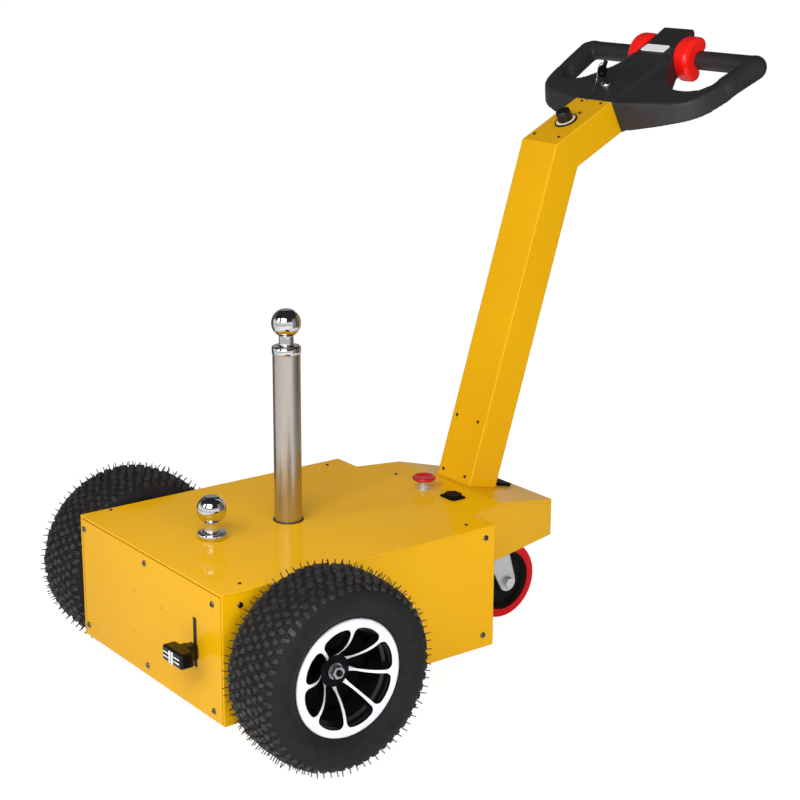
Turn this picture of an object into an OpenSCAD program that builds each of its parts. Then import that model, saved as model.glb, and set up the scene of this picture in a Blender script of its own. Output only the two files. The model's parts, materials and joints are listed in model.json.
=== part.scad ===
// Walk-behind electric tow tractor: a sheet steel box on two pneumatic tyres, a swivel
// castor under a tapered nose, two tow balls and a leaning column with a tiller head.
// +X points to the front, +Y to the left and +Z up, in millimetres. The origin is on the
// floor, under the middle of the tractor's length and width.

/* [Box] */
// Length of the box, from front panel to rear panel
box_l = 516; // [480:1:580]
// Width of the box
box_w = 440; // [410:1:500]
// Height of the box, from its floor to the top of the deck
box_h = 208; // [195:1:240]
// Height of the box floor above the ground
box_clear = 66; // [55:1:80]
// Thickness of the sheet steel
sheet_t = 4; // [3:0.5:5]
// Height of the lever slot in the front panel
slot_h = 80; // [60:1:100]
// Width of the lever slot
slot_w = 11; // [6:0.5:12]
// Distance of the slot from the middle of the front panel
slot_y = 139.5; // [110:0.5:160]
// Distance of the slot's upper end below the deck
slot_drop = 60; // [40:1:80]

/* [Nose] */
// Length of the nose behind the box
nose_l = 229; // [210:1:260]
// Distance of the nose's sides from the box's sides, where they leave the box
nose_inset = 58; // [45:1:70]
// Inward taper of each side of the nose, over its length
nose_taper = 60; // [50:1:70]
// Length of the nose's level part, in front of its bend
nose_flat = 80; // [70:1:100]
// Downward slope of the nose's bent part, in degrees
nose_slope = 13; // [8:0.5:16]
// Height of the nose's lower edge below the deck
skirt_h = 100; // [90:1:110]

/* [Drive wheels] */
// Diameter of the tyres, over the lugs
tyre_d = 306; // [290:1:330]
// Width of the tyres
tyre_w = 124; // [116:1:140]
// Gap between a tyre and the side of the box
tyre_gap = 13; // [8:1:30]
// Distance of the axle behind the front panel
axle_back = 136; // [125:1:180]
// Diameter of the rims, over their flanges
rim_d = 184; // [174:1:196]
// Diameter of the rims' bead seats
bead_d = 152; // [146:1:160]
// Width of the rims between their flanges
bead_w = 92; // [84:1:98]
// Number of lugs in each row round a tyre
lug_n = 20; // [16:2:28]
// Height of the lugs
lug_h = 5; // [3:0.5:7]
// Number of spokes in each rim
spoke_n = 8; // [6:1:10]
// Width of a spoke
spoke_w = 6; // [5:0.5:10]
// Depth of the rims' hubs below their outer face
dish_depth = 36; // [26:1:42]
// Diameter of the drive axle
axle_d = 20; // [16:1:25]

/* [Castor] */
// Diameter of the castor wheel
castor_d = 140; // [125:1:150]
// Width of the castor wheel
castor_w = 42; // [34:1:50]
// Distance of the wheel's axle behind the swivel axis
castor_trail = 44; // [30:1:50]
// Distance of the swivel axis in front of the nose's rear end
castor_in = 79; // [70:1:90]
// Thickness of the castor's red tread
castor_tread_t = 11; // [8:1:16]
// Diameter of the castor's axle bolt
castor_bolt_d = 12; // [10:1:14]

/* [Tow balls] */
// Diameter of the tow balls
ball_d = 47.6; // [45:0.1:60]
// Distance of the low tow ball behind the front panel
ball_back = 117.5; // [90:0.5:140]
// Height of the low ball's centre above the deck
ball_h = 47; // [44:1:70]
// Distance of the tow post behind the front panel
post_back = 262; // [240:1:290]
// Diameter of the tow post
post_d = 45; // [38:1:50]
// Height of the post above the deck
post_h = 279; // [200:1:340]

/* [Column] */
// Width of the column
column_w = 88; // [76:1:100]
// Depth of the column
column_d = 60; // [50:1:70]
// Wall of the column
column_t = 3; // [2:0.5:4]
// Backward lean of the column, in degrees
column_lean = 17.3; // [12:0.1:22]
// Length of the column's front face, up to its bend
column_l = 602; // [500:1:680]
// Length of the column's top face, beyond its bend
arm_l = 139; // [110:1:170]
// Upward angle of the top face, in degrees
arm_angle = 27.3; // [20:0.1:35]
// Distance of the column behind the nose's bend
column_set = 10; // [7:1:24]
// Thickness of the column's foot plate
foot_t = 2.5; // [2:0.5:8]

/* [Tiller head] */
// Width of the tiller head over its loops
head_w = 452; // [430:1:470]
// Thickness of the rear grip bar
grip_d = 33; // [28:1:36]
// Thickness of the side grip bars
side_grip_d = 38; // [34:1:42]
// Distance of the rear grip bar from the column's end
grip_a = 194; // [180:1:210]
// Depth of the grip bars' middle below the column's top face
grip_n = 28.5; // [26:0.5:32]
// Length of the console, from the column's end to its tail
console_l = 235; // [225:1:250]
// Width of the console's tail
tail_w = 76; // [68:1:84]

/* [Hidden] */

// Clearances between pieces that fit into each other
fit_gap = 0.2;
run_gap = 0.3;
move_gap = 6;
// Depth to which joined solids run into each other, and cuts run past a face
lap = 1;
$fn = 48;

// Heights and places that several pieces share
deck_z = box_clear + box_h;
axle_z = tyre_d / 2;
wheel_y = box_w / 2 + tyre_gap + tyre_w / 2;
nose_x = -box_l - nose_l;
castor_x = nose_x + castor_in;
skirt_z = deck_z - skirt_h;
crease_x = -box_l - nose_flat;
nose_front_w = box_w - 2 * nose_inset;
nose_rear_w = nose_front_w - 2 * nose_taper;
inner_w = box_w - 2 * sheet_t;
inner_l = box_l - 2 * sheet_t;
wall_h = box_h - sheet_t;

// Column profile in the X-Z plane: unit vectors along and across its two legs
slope_dir = [-cos(nose_slope), -sin(nose_slope)];
slope_up = [-sin(nose_slope), cos(nose_slope)];
leg_dir = [-sin(column_lean), cos(column_lean)];
leg_in = [-cos(column_lean), -sin(column_lean)];
arm_dir = [-cos(arm_angle), sin(arm_angle)];
arm_in = [-sin(arm_angle), -cos(arm_angle)];
foot_at = [crease_x, deck_z] + column_set * slope_dir;
column_at = foot_at + foot_t * slope_up;
bend_at = column_at + column_l * leg_dir;
arm_end = bend_at + arm_l * arm_dir;

// Depth d into the column: its foot on the sloped plate, its bend and its upper end
function foot_point(d) =
  column_at + d * leg_in - d * (leg_in * slope_up) / (leg_dir * slope_up) * leg_dir;
function bend_point(d) = bend_at + d * (leg_in + arm_in) / (1 + leg_in * arm_in);
function end_point(d) = arm_end + d * arm_in;

// Tiller head: its console stands a little above the column's top face
console_rise = 6;

// Furthest points in front and behind, halfway between which the origin lies
handle_out = 48;
tail_reach = arm_end + console_l * arm_dir - console_rise * arm_in;
shift_x = -(max(axle_z - axle_back, handle_out) + tail_reach[0]) / 2;

steel_yellow = "#e8b010";
tyre_black = "#1c1c1c";
plastic_black = "#222224";
signal_red = "#d81e1e";
chrome = "#d8d8dc";
zinc = "#b4b8bc";

// Moves a piece from the front panel's frame to the tractor's own
module placed() {
  translate([shift_x, 0, 0]) children();
}

// Extrudes an outline drawn in the X-Z plane, evenly to both sides
module side_prism(w) {
  rotate([90, 0, 0]) linear_extrude(w, center = true) children();
}

// Frame of the nose's sloped plate: x forward along it, z away from it
module on_slope(d) {
  translate([crease_x, 0, deck_z]) rotate([0, -nose_slope, 0]) translate([-d, 0, 0]) children();
}

// Frame of the column's top face: x forward along it, z away from it
module on_arm(a) {
  translate([arm_end[0], 0, arm_end[1]]) rotate([0, arm_angle, 0])
    translate([-a, 0, 0]) children();
}

// Frame of a drive wheel: z outwards along the axle; side is 1 on the left, -1 on the right
module at_wheel(side) {
  mirror([0, side < 0 ? 1 : 0, 0])
    translate([-axle_back, wheel_y, axle_z]) rotate([-90, 0, 0]) children();
}

// Box of the size s with its lowest front corner row at x0, centred across the tractor
module block(x0, z0, s) {
  translate([x0 - s[0], -s[1] / 2, z0]) cube(s);
}

// Outline of a rectangle with round corners, about the origin
corner_steps = 4;
function rounded(l, w, r) = [
  for (turn = [0 : 3], i = [0 : corner_steps])
    let (a = 90 * turn + 90 * i / corner_steps)
      [sign(cos(90 * turn + 45)) * (l / 2 - r) + r * cos(a),
       sign(sin(90 * turn + 45)) * (w / 2 - r) + r * sin(a)],
];

// Box panels
module floor_plate() {
  color(steel_yellow) placed() block(-sheet_t, box_clear, [inner_l, inner_w, sheet_t]);
}

// The front panel hangs between the side panels and under the deck, with a narrow seam round it
panel_gap = 2.4;

module front_panel() {
  color(steel_yellow) placed() difference() {
    block(0, box_clear, [sheet_t, inner_w - 2 * panel_gap, wall_h - panel_gap]);
    translate([-2 * sheet_t, slot_y - slot_w / 2, deck_z - slot_drop - slot_h])
      cube([3 * sheet_t, slot_w, slot_h]);
  }
}

hub_hole_d = axle_d + 2 * move_gap;

module side_panel(side) {
  color(steel_yellow) placed() mirror([0, side < 0 ? 1 : 0, 0]) difference() {
    translate([-box_l, inner_w / 2, box_clear]) cube([box_l, sheet_t, wall_h]);
    translate([-axle_back, box_w / 2, axle_z]) rotate([90, 0, 0])
      cylinder(d = hub_hole_d, h = 3 * sheet_t, center = true);
  }
}

module left_side_panel() {
  side_panel(1);
}

module right_side_panel() {
  side_panel(-1);
}

module rear_panel() {
  color(steel_yellow) placed()
    block(sheet_t - box_l, box_clear, [sheet_t, inner_w, wall_h]);
}

// Half width of the nose at the distance d behind the box
function nose_half(d) = (nose_front_w + (nose_rear_w - nose_front_w) * d / nose_l) / 2;

// Deck: the box's lid and the nose's top from one sheet, bent down at the crease
slope_drop = (nose_l - nose_flat) * tan(nose_slope);
bend_in = sheet_t * tan(nose_slope / 2);

module deck_profile() {
  polygon([
    [0, deck_z], [crease_x, deck_z], [nose_x, deck_z - slope_drop],
    [nose_x, deck_z - slope_drop - sheet_t / cos(nose_slope)],
    [crease_x + bend_in, deck_z - sheet_t], [0, deck_z - sheet_t],
  ]);
}

module deck_outline() {
  polygon([
    [0, box_w / 2], [-box_l, box_w / 2], [-box_l, nose_half(0)], [nose_x, nose_half(nose_l)],
    [nose_x, -nose_half(nose_l)], [-box_l, -nose_half(0)], [-box_l, -box_w / 2], [0, -box_w / 2],
  ]);
}

module deck_plate() {
  color(steel_yellow) placed() difference() {
    intersection() {
      side_prism(2 * box_w) deck_profile();
      linear_extrude(2 * deck_z) deck_outline();
    }
    translate([-post_back, 0, deck_z])
      cylinder(d = post_d + 2 * fit_gap, h = 3 * sheet_t, center = true);
  }
}

// Nose skirts: vertical plates under the deck, cut off along the bent plate
side_in = sheet_t / cos(atan((nose_front_w - nose_rear_w) / 2 / nose_l));

module under_nose() {
  difference() {
    translate([0, 0, skirt_z]) linear_extrude(skirt_h - sheet_t) children();
    on_slope(-nose_l) translate([-3 * nose_l, -nose_front_w, -sheet_t])
      cube([3 * nose_l, 2 * nose_front_w, skirt_h]);
  }
}

module nose_side(side) {
  color(steel_yellow) placed() mirror([0, side < 0 ? 1 : 0, 0]) under_nose() polygon([
    [-box_l, nose_half(0)], [nose_x, nose_half(nose_l)],
    [nose_x, nose_half(nose_l) - side_in], [-box_l, nose_half(0) - side_in],
  ]);
}

module nose_left_side() {
  nose_side(1);
}

module nose_right_side() {
  nose_side(-1);
}

module nose_rear() {
  rear_half = nose_half(nose_l) - side_in;
  step = nose_half(nose_l - sheet_t) - nose_half(nose_l);
  color(steel_yellow) placed() under_nose() translate([nose_x, 0]) polygon([
    [0, rear_half], [sheet_t, rear_half + step], [sheet_t, -rear_half - step], [0, -rear_half],
  ]);
}

// Shelf between the skirts that carries the castor
shelf_t = 6;
swivel_h = 40;
castor_top_z = castor_d + swivel_h;

module castor_shelf() {
  rear_x = nose_l - sheet_t;
  color(steel_yellow) placed() translate([-box_l, 0, castor_top_z])
    linear_extrude(shelf_t) polygon([
      [0, nose_half(0) - side_in], [-rear_x, nose_half(rear_x) - side_in],
      [-rear_x, side_in - nose_half(rear_x)], [0, side_in - nose_half(0)],
    ]);
}

// Heavy masses inside the box: transaxle with motor, and batteries
unit_l = 130;
unit_w = 200;
tube_d = 64;
axle_in = 60;

module drive_unit() {
  unit_z = box_clear + sheet_t;
  color("#505459") placed() difference() {
    union() {
      block(unit_l / 2 - axle_back, unit_z, [unit_l, unit_w, axle_z - unit_z + unit_l / 2]);
      translate([-axle_back, 0, axle_z]) rotate([90, 0, 0])
        cylinder(d = tube_d, h = inner_w - 2 * move_gap, center = true);
    }
    for (side = [-1, 1])
      translate([-axle_back, side * axle_in / 2, axle_z]) rotate([-90 * side, 0, 0])
        cylinder(d = axle_d + 2 * run_gap, h = box_w);
  }
}

battery_gap = 20;
battery_h = 150;

module battery_pack() {
  front = post_back + post_d / 2 + 2 * battery_gap;
  size = [box_l - sheet_t - battery_gap - front, inner_w - 2 * battery_gap, battery_h];
  color("#303236") placed() block(-front, box_clear + sheet_t, size);
}

// Tow balls: a foot flange, a neck that flares out to it, and a ball with a flat on top
flange_d = 47;
neck_d = 25;
neck_flare = 4;
ball_flat_d = 19;
low_flange_h = 10;
high_flange_h = 12;

module tow_ball(flange_h, centre_h) {
  flat_h = sqrt(pow(ball_d / 2, 2) - pow(ball_flat_d / 2, 2));
  cylinder(d = flange_d, h = flange_h);
  translate([0, 0, flange_h])
    cylinder(d1 = neck_d + 2 * neck_flare, d2 = neck_d, h = neck_flare);
  cylinder(d = neck_d, h = centre_h);
  translate([0, 0, centre_h]) difference() {
    sphere(d = ball_d);
    translate([-ball_d / 2, -ball_d / 2, flat_h]) cube(ball_d);
  }
}

module tow_ball_low() {
  color(chrome) placed() translate([-ball_back, 0, deck_z]) tow_ball(low_flange_h, ball_h);
}

module tow_post() {
  color(zinc) placed() translate([-post_back, 0, box_clear + sheet_t])
    cylinder(d = post_d, h = wall_h + post_h);
}

high_neck = 49;

module tow_ball_high() {
  color(chrome) placed() translate([-post_back, 0, deck_z + post_h]) tow_ball(high_flange_h, high_neck);
}

collar_d = post_d + 5;
collar_t = 1.5;

module post_collar() {
  color(plastic_black) placed() translate([-post_back, 0, deck_z]) difference() {
    cylinder(d = collar_d, h = collar_t);
    cylinder(d = post_d + 2 * fit_gap, h = 3 * collar_t, center = true);
  }
}

// Release lever: a flat bar through the slot, with a moulded T-handle on its end
lever_t = slot_w - 2 * run_gap;
lever_h = 14;
lever_in = 60;
lever_out = 8;
lever_rise = 23;
lever_z = deck_z - slot_drop - slot_h + lever_h / 2 + lever_rise;
stem_w = 24;
stem_h = 20;
bar_l = 26;
bar_w = 56;
bar_h = 25;
bar_side = 8;
bar_edge = 5;

module at_lever() {
  translate([0, slot_y, lever_z]) children();
}

module release_lever() {
  color(zinc) placed() at_lever() translate([-lever_in, -lever_t / 2, -lever_h / 2])
    cube([lever_in + lever_out, lever_t, lever_h]);
}

module lever_grip() {
  color(plastic_black) placed() at_lever() {
    translate([lever_out, -stem_w / 2, -stem_h / 2])
      cube([handle_out - bar_l / 2 - lever_out, stem_w, stem_h]);
    translate([handle_out - bar_l / 2, bar_side, -bar_h / 2])
      linear_extrude(bar_h) polygon(rounded(bar_l, bar_w, bar_edge));
  }
}

// Stop button: a mushroom with a dished top, on a turned collar
stop_back = 20;
stop_y = 7;
stop_neck_d = 22;
stop_neck_h = 14;
stop_d = 40;
stop_under_d = 32;
stop_under_h = 4;
stop_cap_h = 6;
stop_dish_d = 26;
stop_dish = 2;

module at_stop() {
  translate([-box_l - stop_back, stop_y, deck_z]) children();
}

module stop_collar() {
  color(zinc) placed() at_stop() cylinder(d = stop_neck_d, h = stop_neck_h);
}

module stop_button() {
  color(signal_red) placed() at_stop() translate([0, 0, stop_neck_h]) difference() {
    union() {
      cylinder(d1 = stop_under_d, d2 = stop_d, h = stop_under_h);
      translate([0, 0, stop_under_h]) cylinder(d = stop_d, h = stop_cap_h);
    }
    translate([0, 0, stop_under_h + stop_cap_h - stop_dish])
      cylinder(d1 = stop_dish_d - 2 * stop_dish, d2 = stop_dish_d + 2 * stop_dish, h = 2 * stop_dish);
  }
}

// Charge socket under its closed cap
socket_size = [30, 38];
socket_t = 3;
socket_r = 5;
cap_d = 28;
cap_h = 5;
socket_back = 32;
socket_y = 71;

module charge_socket() {
  color(plastic_black) placed() translate([-box_l - socket_back, socket_y, deck_z]) {
    linear_extrude(socket_t) polygon(rounded(socket_size[0], socket_size[1], socket_r));
    translate([0, 0, socket_t]) cylinder(d = cap_d, h = cap_h);
  }
}

// Battery gauge behind the column
gauge_size = [30, 38];
gauge_t = 5;
gauge_r = 4;
gauge_back = 116;

module nose_gauge() {
  color(plastic_black) placed() on_slope(gauge_back)
    linear_extrude(gauge_t) polygon(rounded(gauge_size[0], gauge_size[1], gauge_r));
}

// Column: a bent box tube, open at both ends, on a foot plate
foot_edge = 4;

module column_foot() {
  foot_l = norm(foot_point(column_d) - foot_point(0));
  color(steel_yellow) placed() on_slope(column_set)
    translate([-foot_l - foot_edge, -column_w / 2 - foot_edge, 0])
      cube([foot_l + 2 * foot_edge, column_w + 2 * foot_edge, foot_t]);
}

module column_profile(d0, d1) {
  polygon([
    foot_point(d0), bend_point(d0), end_point(d0),
    end_point(d1), bend_point(d1), foot_point(d1),
  ]);
}

module column() {
  color(steel_yellow) placed() difference() {
    side_prism(column_w) column_profile(0, column_d);
    side_prism(column_w - 2 * column_t) column_profile(column_t, column_d - column_t);
  }
}

// Speed knob on the column's top face, in a raised bezel
knob_set = 71;
bezel_d = 41;
bezel_t = 3;
bezel_rim = 3;
bezel_dip = 1;
knob_d = 27;
knob_taper = 2;
knob_h = 20;

module knob_bezel() {
  color(plastic_black) placed() on_arm(-knob_set) difference() {
    cylinder(d = bezel_d, h = bezel_t);
    translate([0, 0, bezel_t - bezel_dip]) cylinder(d = bezel_d - 2 * bezel_rim, h = bezel_t);
  }
}

module speed_knob() {
  color(plastic_black) placed() on_arm(-knob_set) translate([0, 0, bezel_t - bezel_dip])
    cylinder(d1 = knob_d, d2 = knob_d - knob_taper, h = knob_h);
}

// Tiller head: round grip bars that close two hand loops, a wing whose front leans back, and a
// console with an overhanging tail
loop_y = (head_w - side_grip_d) / 2;
bar_flare = 12;
wing_half = head_w / 2 - bar_flare;
wing_low = 46;
wing_top = 11;
wing_taper = [0.92, 0.97];
wing_a = 62;
wing_sweep = 20;
bar_a = 110;
hole_a = 66;
hole_y = 74;
hole_corner = 34;
hole_in = 10;
console_in = 14;
console_low = 60;
console_front = 16;
tail_a = 150;
tail_cut = 22;

// Rear bar, ball corner and side bar, which spreads out to the corner, on the side of +Y
module half_loop() {
  translate([-grip_a, 0, 0]) rotate([-90, 0, 0]) cylinder(d = grip_d, h = loop_y);
  translate([-grip_a, loop_y, 0]) sphere(d = side_grip_d);
  translate([-grip_a, loop_y, 0]) rotate(-atan(bar_flare / (grip_a - bar_a))) rotate([0, 90, 0])
    cylinder(d = side_grip_d, h = norm([grip_a - bar_a, bar_flare]));
}

// Plan of one wing: its front edge sweeps out from the column to the side bar
sweep_steps = 10;
function sweep_point(t) = [
  -wing_a * (1 - cos(t)) - wing_sweep * sin(t) * cos(t),
  column_w / 2 + (wing_half - column_w / 2) * sin(t),
];

module half_wing() {
  bar_in = loop_y - bar_flare - hole_in;
  polygon(concat(
    [[0, 0]], [for (i = [0 : sweep_steps]) sweep_point(90 * i / sweep_steps)], [
      [-bar_a - hole_corner, wing_half], [-bar_a - hole_corner, bar_in],
      [-hole_a - hole_corner, bar_in], [-hole_a - hole_corner / 4, bar_in - hole_corner / 3],
      [-hole_a, bar_in - hole_corner],
      [-hole_a, hole_y], [console_in - tail_a, hole_y - console_in], [-tail_a, tail_w / 2],
      [-grip_a, tail_w / 2], [-grip_a, 0],
    ]));
}

module tiller_head() {
  color(plastic_black) placed() on_arm(0) {
    for (side = [0, 1]) mirror([0, side, 0]) {
      translate([0, 0, -grip_n]) half_loop();
      translate([-grip_a, 0, -wing_low])
        linear_extrude(wing_low - wing_top, scale = wing_taper, slices = 1)
          translate([grip_a, 0]) half_wing();
    }
    translate([0, 0, -grip_n]) linear_extrude(grip_n) polygon([
      [0, column_w / 2], [-hole_a, hole_y - console_in / 2],
      [-hole_a, console_in / 2 - hole_y], [0, -column_w / 2],
    ]);
    translate([-console_front, -column_w / 2, -console_low])
      cube([console_front, column_w, console_low - grip_n]);
    side_prism(tail_w) polygon([
      [-hole_a / 2, lap - wing_low], [-hole_a / 2, 0], [-hole_a, 0], [-tail_a, console_rise],
      [-console_l, console_rise], [-console_l + tail_cut, -grip_n], [-grip_a, lap - wing_low],
    ]);
  }
}

// Blank white plate on the console
plate_size = [21, 57];
plate_t = 1.5;
plate_r = 4;
plate_a = 167;

module label_plate() {
  color("white") placed() on_arm(plate_a) translate([0, 0, console_rise])
    linear_extrude(plate_t) polygon(rounded(plate_size[0], plate_size[1], plate_r));
}

// Throttle paddles: kidney shapes that hug the rear grip bar on both sides of the tail
paddle_t = 30;
paddle_r = 40;
paddle_low = -45;
paddle_high = 132;
paddle_steps = 12;

// Kidney outline about the bar's middle: an outer arc, a round end, an inner arc, a round end
function arc(c, r, a0, a1) = [
  for (i = [0 : paddle_steps]) c + polar(r, a0 + (a1 - a0) * i / paddle_steps)
];
function polar(r, a) = [r * cos(a), r * sin(a)];

module kidney(inner) {
  mid = (inner + paddle_r) / 2;
  tip = (paddle_r - inner) / 2;
  polygon(concat(
    arc([0, 0], paddle_r, paddle_low, paddle_high),
    arc(polar(mid, paddle_high), tip, paddle_high, paddle_high + 180),
    arc([0, 0], inner, paddle_high, paddle_low),
    arc(polar(mid, paddle_low), tip, paddle_low + 180, paddle_low + 360)));
}

module throttle(side) {
  color(signal_red) placed() on_arm(0) mirror([0, side < 0 ? 1 : 0, 0])
    translate([-grip_a, tail_w / 2 + fit_gap + paddle_t / 2, -grip_n])
      side_prism(paddle_t) kidney(grip_d / 2 + run_gap);
}

module left_throttle() {
  throttle(1);
}

module right_throttle() {
  throttle(-1);
}

// Key switch on the console, with its key
lock_a = 50;
lock_y = -15;
lock_d = 20;
lock_t = 6;
key_t = 2.4;
blade_w = 8;
blade_h = 14;
bow_d = 22;
bow_hole_d = 7;
bow_h = 20;

module at_lock() {
  on_arm(lock_a) translate([0, lock_y, 0]) children();
}

module key_lock() {
  color(chrome) placed() at_lock() cylinder(d = lock_d, h = lock_t);
}

module key() {
  color(zinc) placed() at_lock() translate([0, 0, lock_t]) difference() {
    union() {
      translate([-blade_w / 2, -key_t / 2, 0]) cube([blade_w, key_t, blade_h]);
      translate([0, 0, bow_h]) rotate([90, 0, 0]) cylinder(d = bow_d, h = key_t, center = true);
    }
    translate([0, 0, bow_h + bow_d / 4]) rotate([90, 0, 0])
      cylinder(d = bow_hole_d, h = 2 * key_t, center = true);
  }
}

// Tyre: a barrel whose bead sits between the rim's flanges, with rows of lugs round it
flange_t = 5;
rim_r = rim_d / 2;
bead_r = bead_d / 2;
crown_r = axle_z - lug_h;
wide_r = rim_r + (crown_r - rim_r) / 2;

// Rings of the barrel on one side of its middle: share of the half width, share of the rise
// from the widest ring to the crown
RINGS = [[0.3, 1], [0.62, 0.95], [0.84, 0.8], [0.97, 0.5], [1, 0]];

// Rows of lugs: inner and outer share of the half width, distance below the crown's lugs, share
// of a pitch by which the row is turned
LUG_ROWS = [[-0.22, 0.22, 0, 0], [0.42, 0.76, 3, 0.5], [-0.76, -0.42, 3, 0.5]];
lug_share = 0.52;

module barrel() {
  slice = 0.1;
  hull() for (ring = RINGS, side = [-1, 1])
    translate([0, 0, side * (tyre_w - slice) / 2 * ring[0]])
      cylinder(r = wide_r + (crown_r - wide_r) * ring[1], h = slice, center = true, $fn = 2 * lug_n);
}

module lugs() {
  lug_w = lug_share * 2 * PI * axle_z / lug_n;
  foot_r = crown_r - 3 * lug_h;
  for (row = LUG_ROWS, i = [0 : lug_n - 1]) {
    top_r = sqrt(pow(axle_z - row[2], 2) - pow(lug_w / 2, 2));
    rotate(360 / lug_n * (i + row[3])) translate([foot_r, -lug_w / 2, row[0] * tyre_w / 2])
      cube([top_r - foot_r, lug_w, (row[1] - row[0]) * tyre_w / 2]);
  }
}

module tyre(side) {
  rim_cut = rim_r + fit_gap;
  cut_h = (tyre_w - bead_w) / 2;
  color(tyre_black) placed() at_wheel(side) difference() {
    union() {
      barrel();
      lugs();
    }
    cylinder(r = bead_r + fit_gap, h = 2 * tyre_w, center = true);
    for (end = [0, 1]) mirror([0, 0, end]) translate([0, 0, bead_w / 2])
      cylinder(r1 = rim_cut, r2 = rim_cut + (wide_r - rim_cut) * (cut_h + lap) / cut_h, h = cut_h + lap);
  }
}

module left_tyre() {
  tyre(1);
}

module right_tyre() {
  tyre(-1);
}

// Rim: a barrel with two flanges and a dished disc, cut into spokes by rounded windows
barrel_t = 5;
barrel_r = bead_r - barrel_t;
face_z = bead_w / 2 + fit_gap + flange_t;
hub_r = 24;
hub_wall = 4;
bore_r = axle_d / 2 + fit_gap;
window_r = rim_r - 13;
disc_t = 18;
pocket_h = 12;
window_lip = 0.5;
window_turn = 17;

// Height of the dished disc at the radius r: level at the ring, steep at the hub
function dish_z(r) = face_z - dish_depth * pow((window_r - r) / (window_r - hub_r), 2);

// Half width of a spoke at the radius r, rounded where a window meets the ring
corner_r = 9;
window_in = hub_r + hub_wall + lap;
function corner(q) = corner_r * (1 - sqrt(1 - min(1, q * q)));
function spoke_half(r) = spoke_w / 2 + corner(max(0, (r - window_r + corner_r) / corner_r));
function window_edge(r) = 180 / spoke_n - asin(spoke_half(r) / r);

// Window from the hub out to the radius r_max, drawn about the X axis
module window(r_max) {
  shares = [0, 0.5, 0.8, 0.95, 1];
  radii = [
    window_in, window_in + corner_r,
    for (s = shares) if (window_r - corner_r * (1 - s) < r_max) window_r - corner_r * (1 - s),
    r_max,
  ];
  last = len(radii) - 1;
  polygon([
    for (r = radii) polar(r, window_edge(r)),
    polar(r_max, 0),
    for (i = [0 : last]) polar(radii[last - i], -window_edge(radii[last - i])),
  ]);
}

module rim(side) {
  steps = 10;
  dish = [for (i = [0 : steps]) hub_r + (window_r - hub_r) * i / steps];
  hub_z = dish_z(hub_r);
  seat_z = face_z - flange_t;
  color("#2a2a2c") placed() at_wheel(side) rotate(window_turn) difference() {
    rotate_extrude() polygon(concat(
      [[bore_r, hub_z]], [for (r = dish) [r, dish_z(r)]], [
        [rim_r, face_z], [rim_r, seat_z], [bead_r, seat_z], [bead_r, -seat_z],
        [rim_r, -seat_z], [rim_r, -face_z], [barrel_r, -face_z], [barrel_r, face_z - disc_t],
        [hub_r + hub_wall, hub_z - disc_t], [bore_r, hub_z - disc_t],
      ]));
    for (i = [0 : spoke_n - 1]) rotate(360 / spoke_n * i) {
      translate([0, 0, face_z - pocket_h]) linear_extrude(2 * pocket_h) window(window_r - window_lip);
      translate([0, 0, -face_z]) linear_extrude(2 * face_z) window(barrel_r - 2 * window_lip);
    }
  }
}

module left_rim() {
  rim(1);
}

module right_rim() {
  rim(-1);
}

// Drive axle: a shaft from the transaxle to the hub, with a washer and a nut on its stud
stud_d = 10;
stud_out = 3;
nut_d = 22;
nut_t = 9;
washer_d = 25;
washer_t = 2;

module axle(side) {
  hub_z = dish_z(hub_r);
  inner_z = axle_in / 2 - wheel_y + move_gap;
  washer_z = hub_z + fit_gap;
  color(zinc) placed() at_wheel(side) {
    translate([0, 0, inner_z]) cylinder(d = axle_d, h = washer_z - inner_z);
    translate([0, 0, washer_z]) {
      cylinder(d = washer_d, h = washer_t);
      cylinder(d = stud_d, h = washer_t + nut_t + stud_out);
    }
    translate([0, 0, washer_z + washer_t]) cylinder(d = nut_d, h = nut_t, $fn = 6);
  }
}

module left_axle() {
  axle(1);
}

module right_axle() {
  axle(-1);
}

// Castor: a top plate with a bearing ring, a trailing fork, and a wheel on a bolt
castor_axle = [castor_x - castor_trail, castor_d / 2];
top_plate_w = 104;
top_plate_t = 5;
ring_d = 72;
ring_t = 6;
leg_t = 4;
leg_front = 28;
leg_rear = 34;
eye_r = 17;
eye_step = 4;
crown_t = 6;
crown_edge = 2;
fork_in = castor_w + 2 * move_gap;
crown_z = castor_top_z - top_plate_t - ring_t - run_gap - crown_t;

module castor_plate() {
  color(zinc) placed() translate([castor_x, 0, castor_top_z - top_plate_t]) {
    translate([-top_plate_w / 2, -top_plate_w / 2, 0]) cube([top_plate_w, top_plate_w, top_plate_t]);
    translate([0, 0, -ring_t]) cylinder(d = ring_d, h = ring_t);
  }
}

// One leg, from the crown down to the eye round the axle
module fork_leg() {
  top_z = crown_z + crown_t;
  polygon([
    [castor_x + leg_front, top_z], [castor_x - leg_rear, top_z],
    castor_axle + [-eye_r, eye_step], castor_axle + [eye_r - eye_step, -3 * eye_step],
  ]);
  translate(castor_axle) circle(r = eye_r);
}

module castor_fork() {
  color(zinc) placed() difference() {
    union() {
      translate([castor_x, 0, crown_z]) cylinder(d = ring_d + 2 * crown_edge, h = crown_t);
      for (side = [-1, 1])
        translate([0, side * (fork_in + leg_t) / 2, 0]) side_prism(leg_t) fork_leg();
    }
    translate([castor_axle[0], 0, castor_axle[1]]) rotate([90, 0, 0])
      cylinder(d = castor_bolt_d + 2 * fit_gap, h = 2 * fork_in, center = true);
  }
}

head_t = 8;
head_d = 20;

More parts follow.
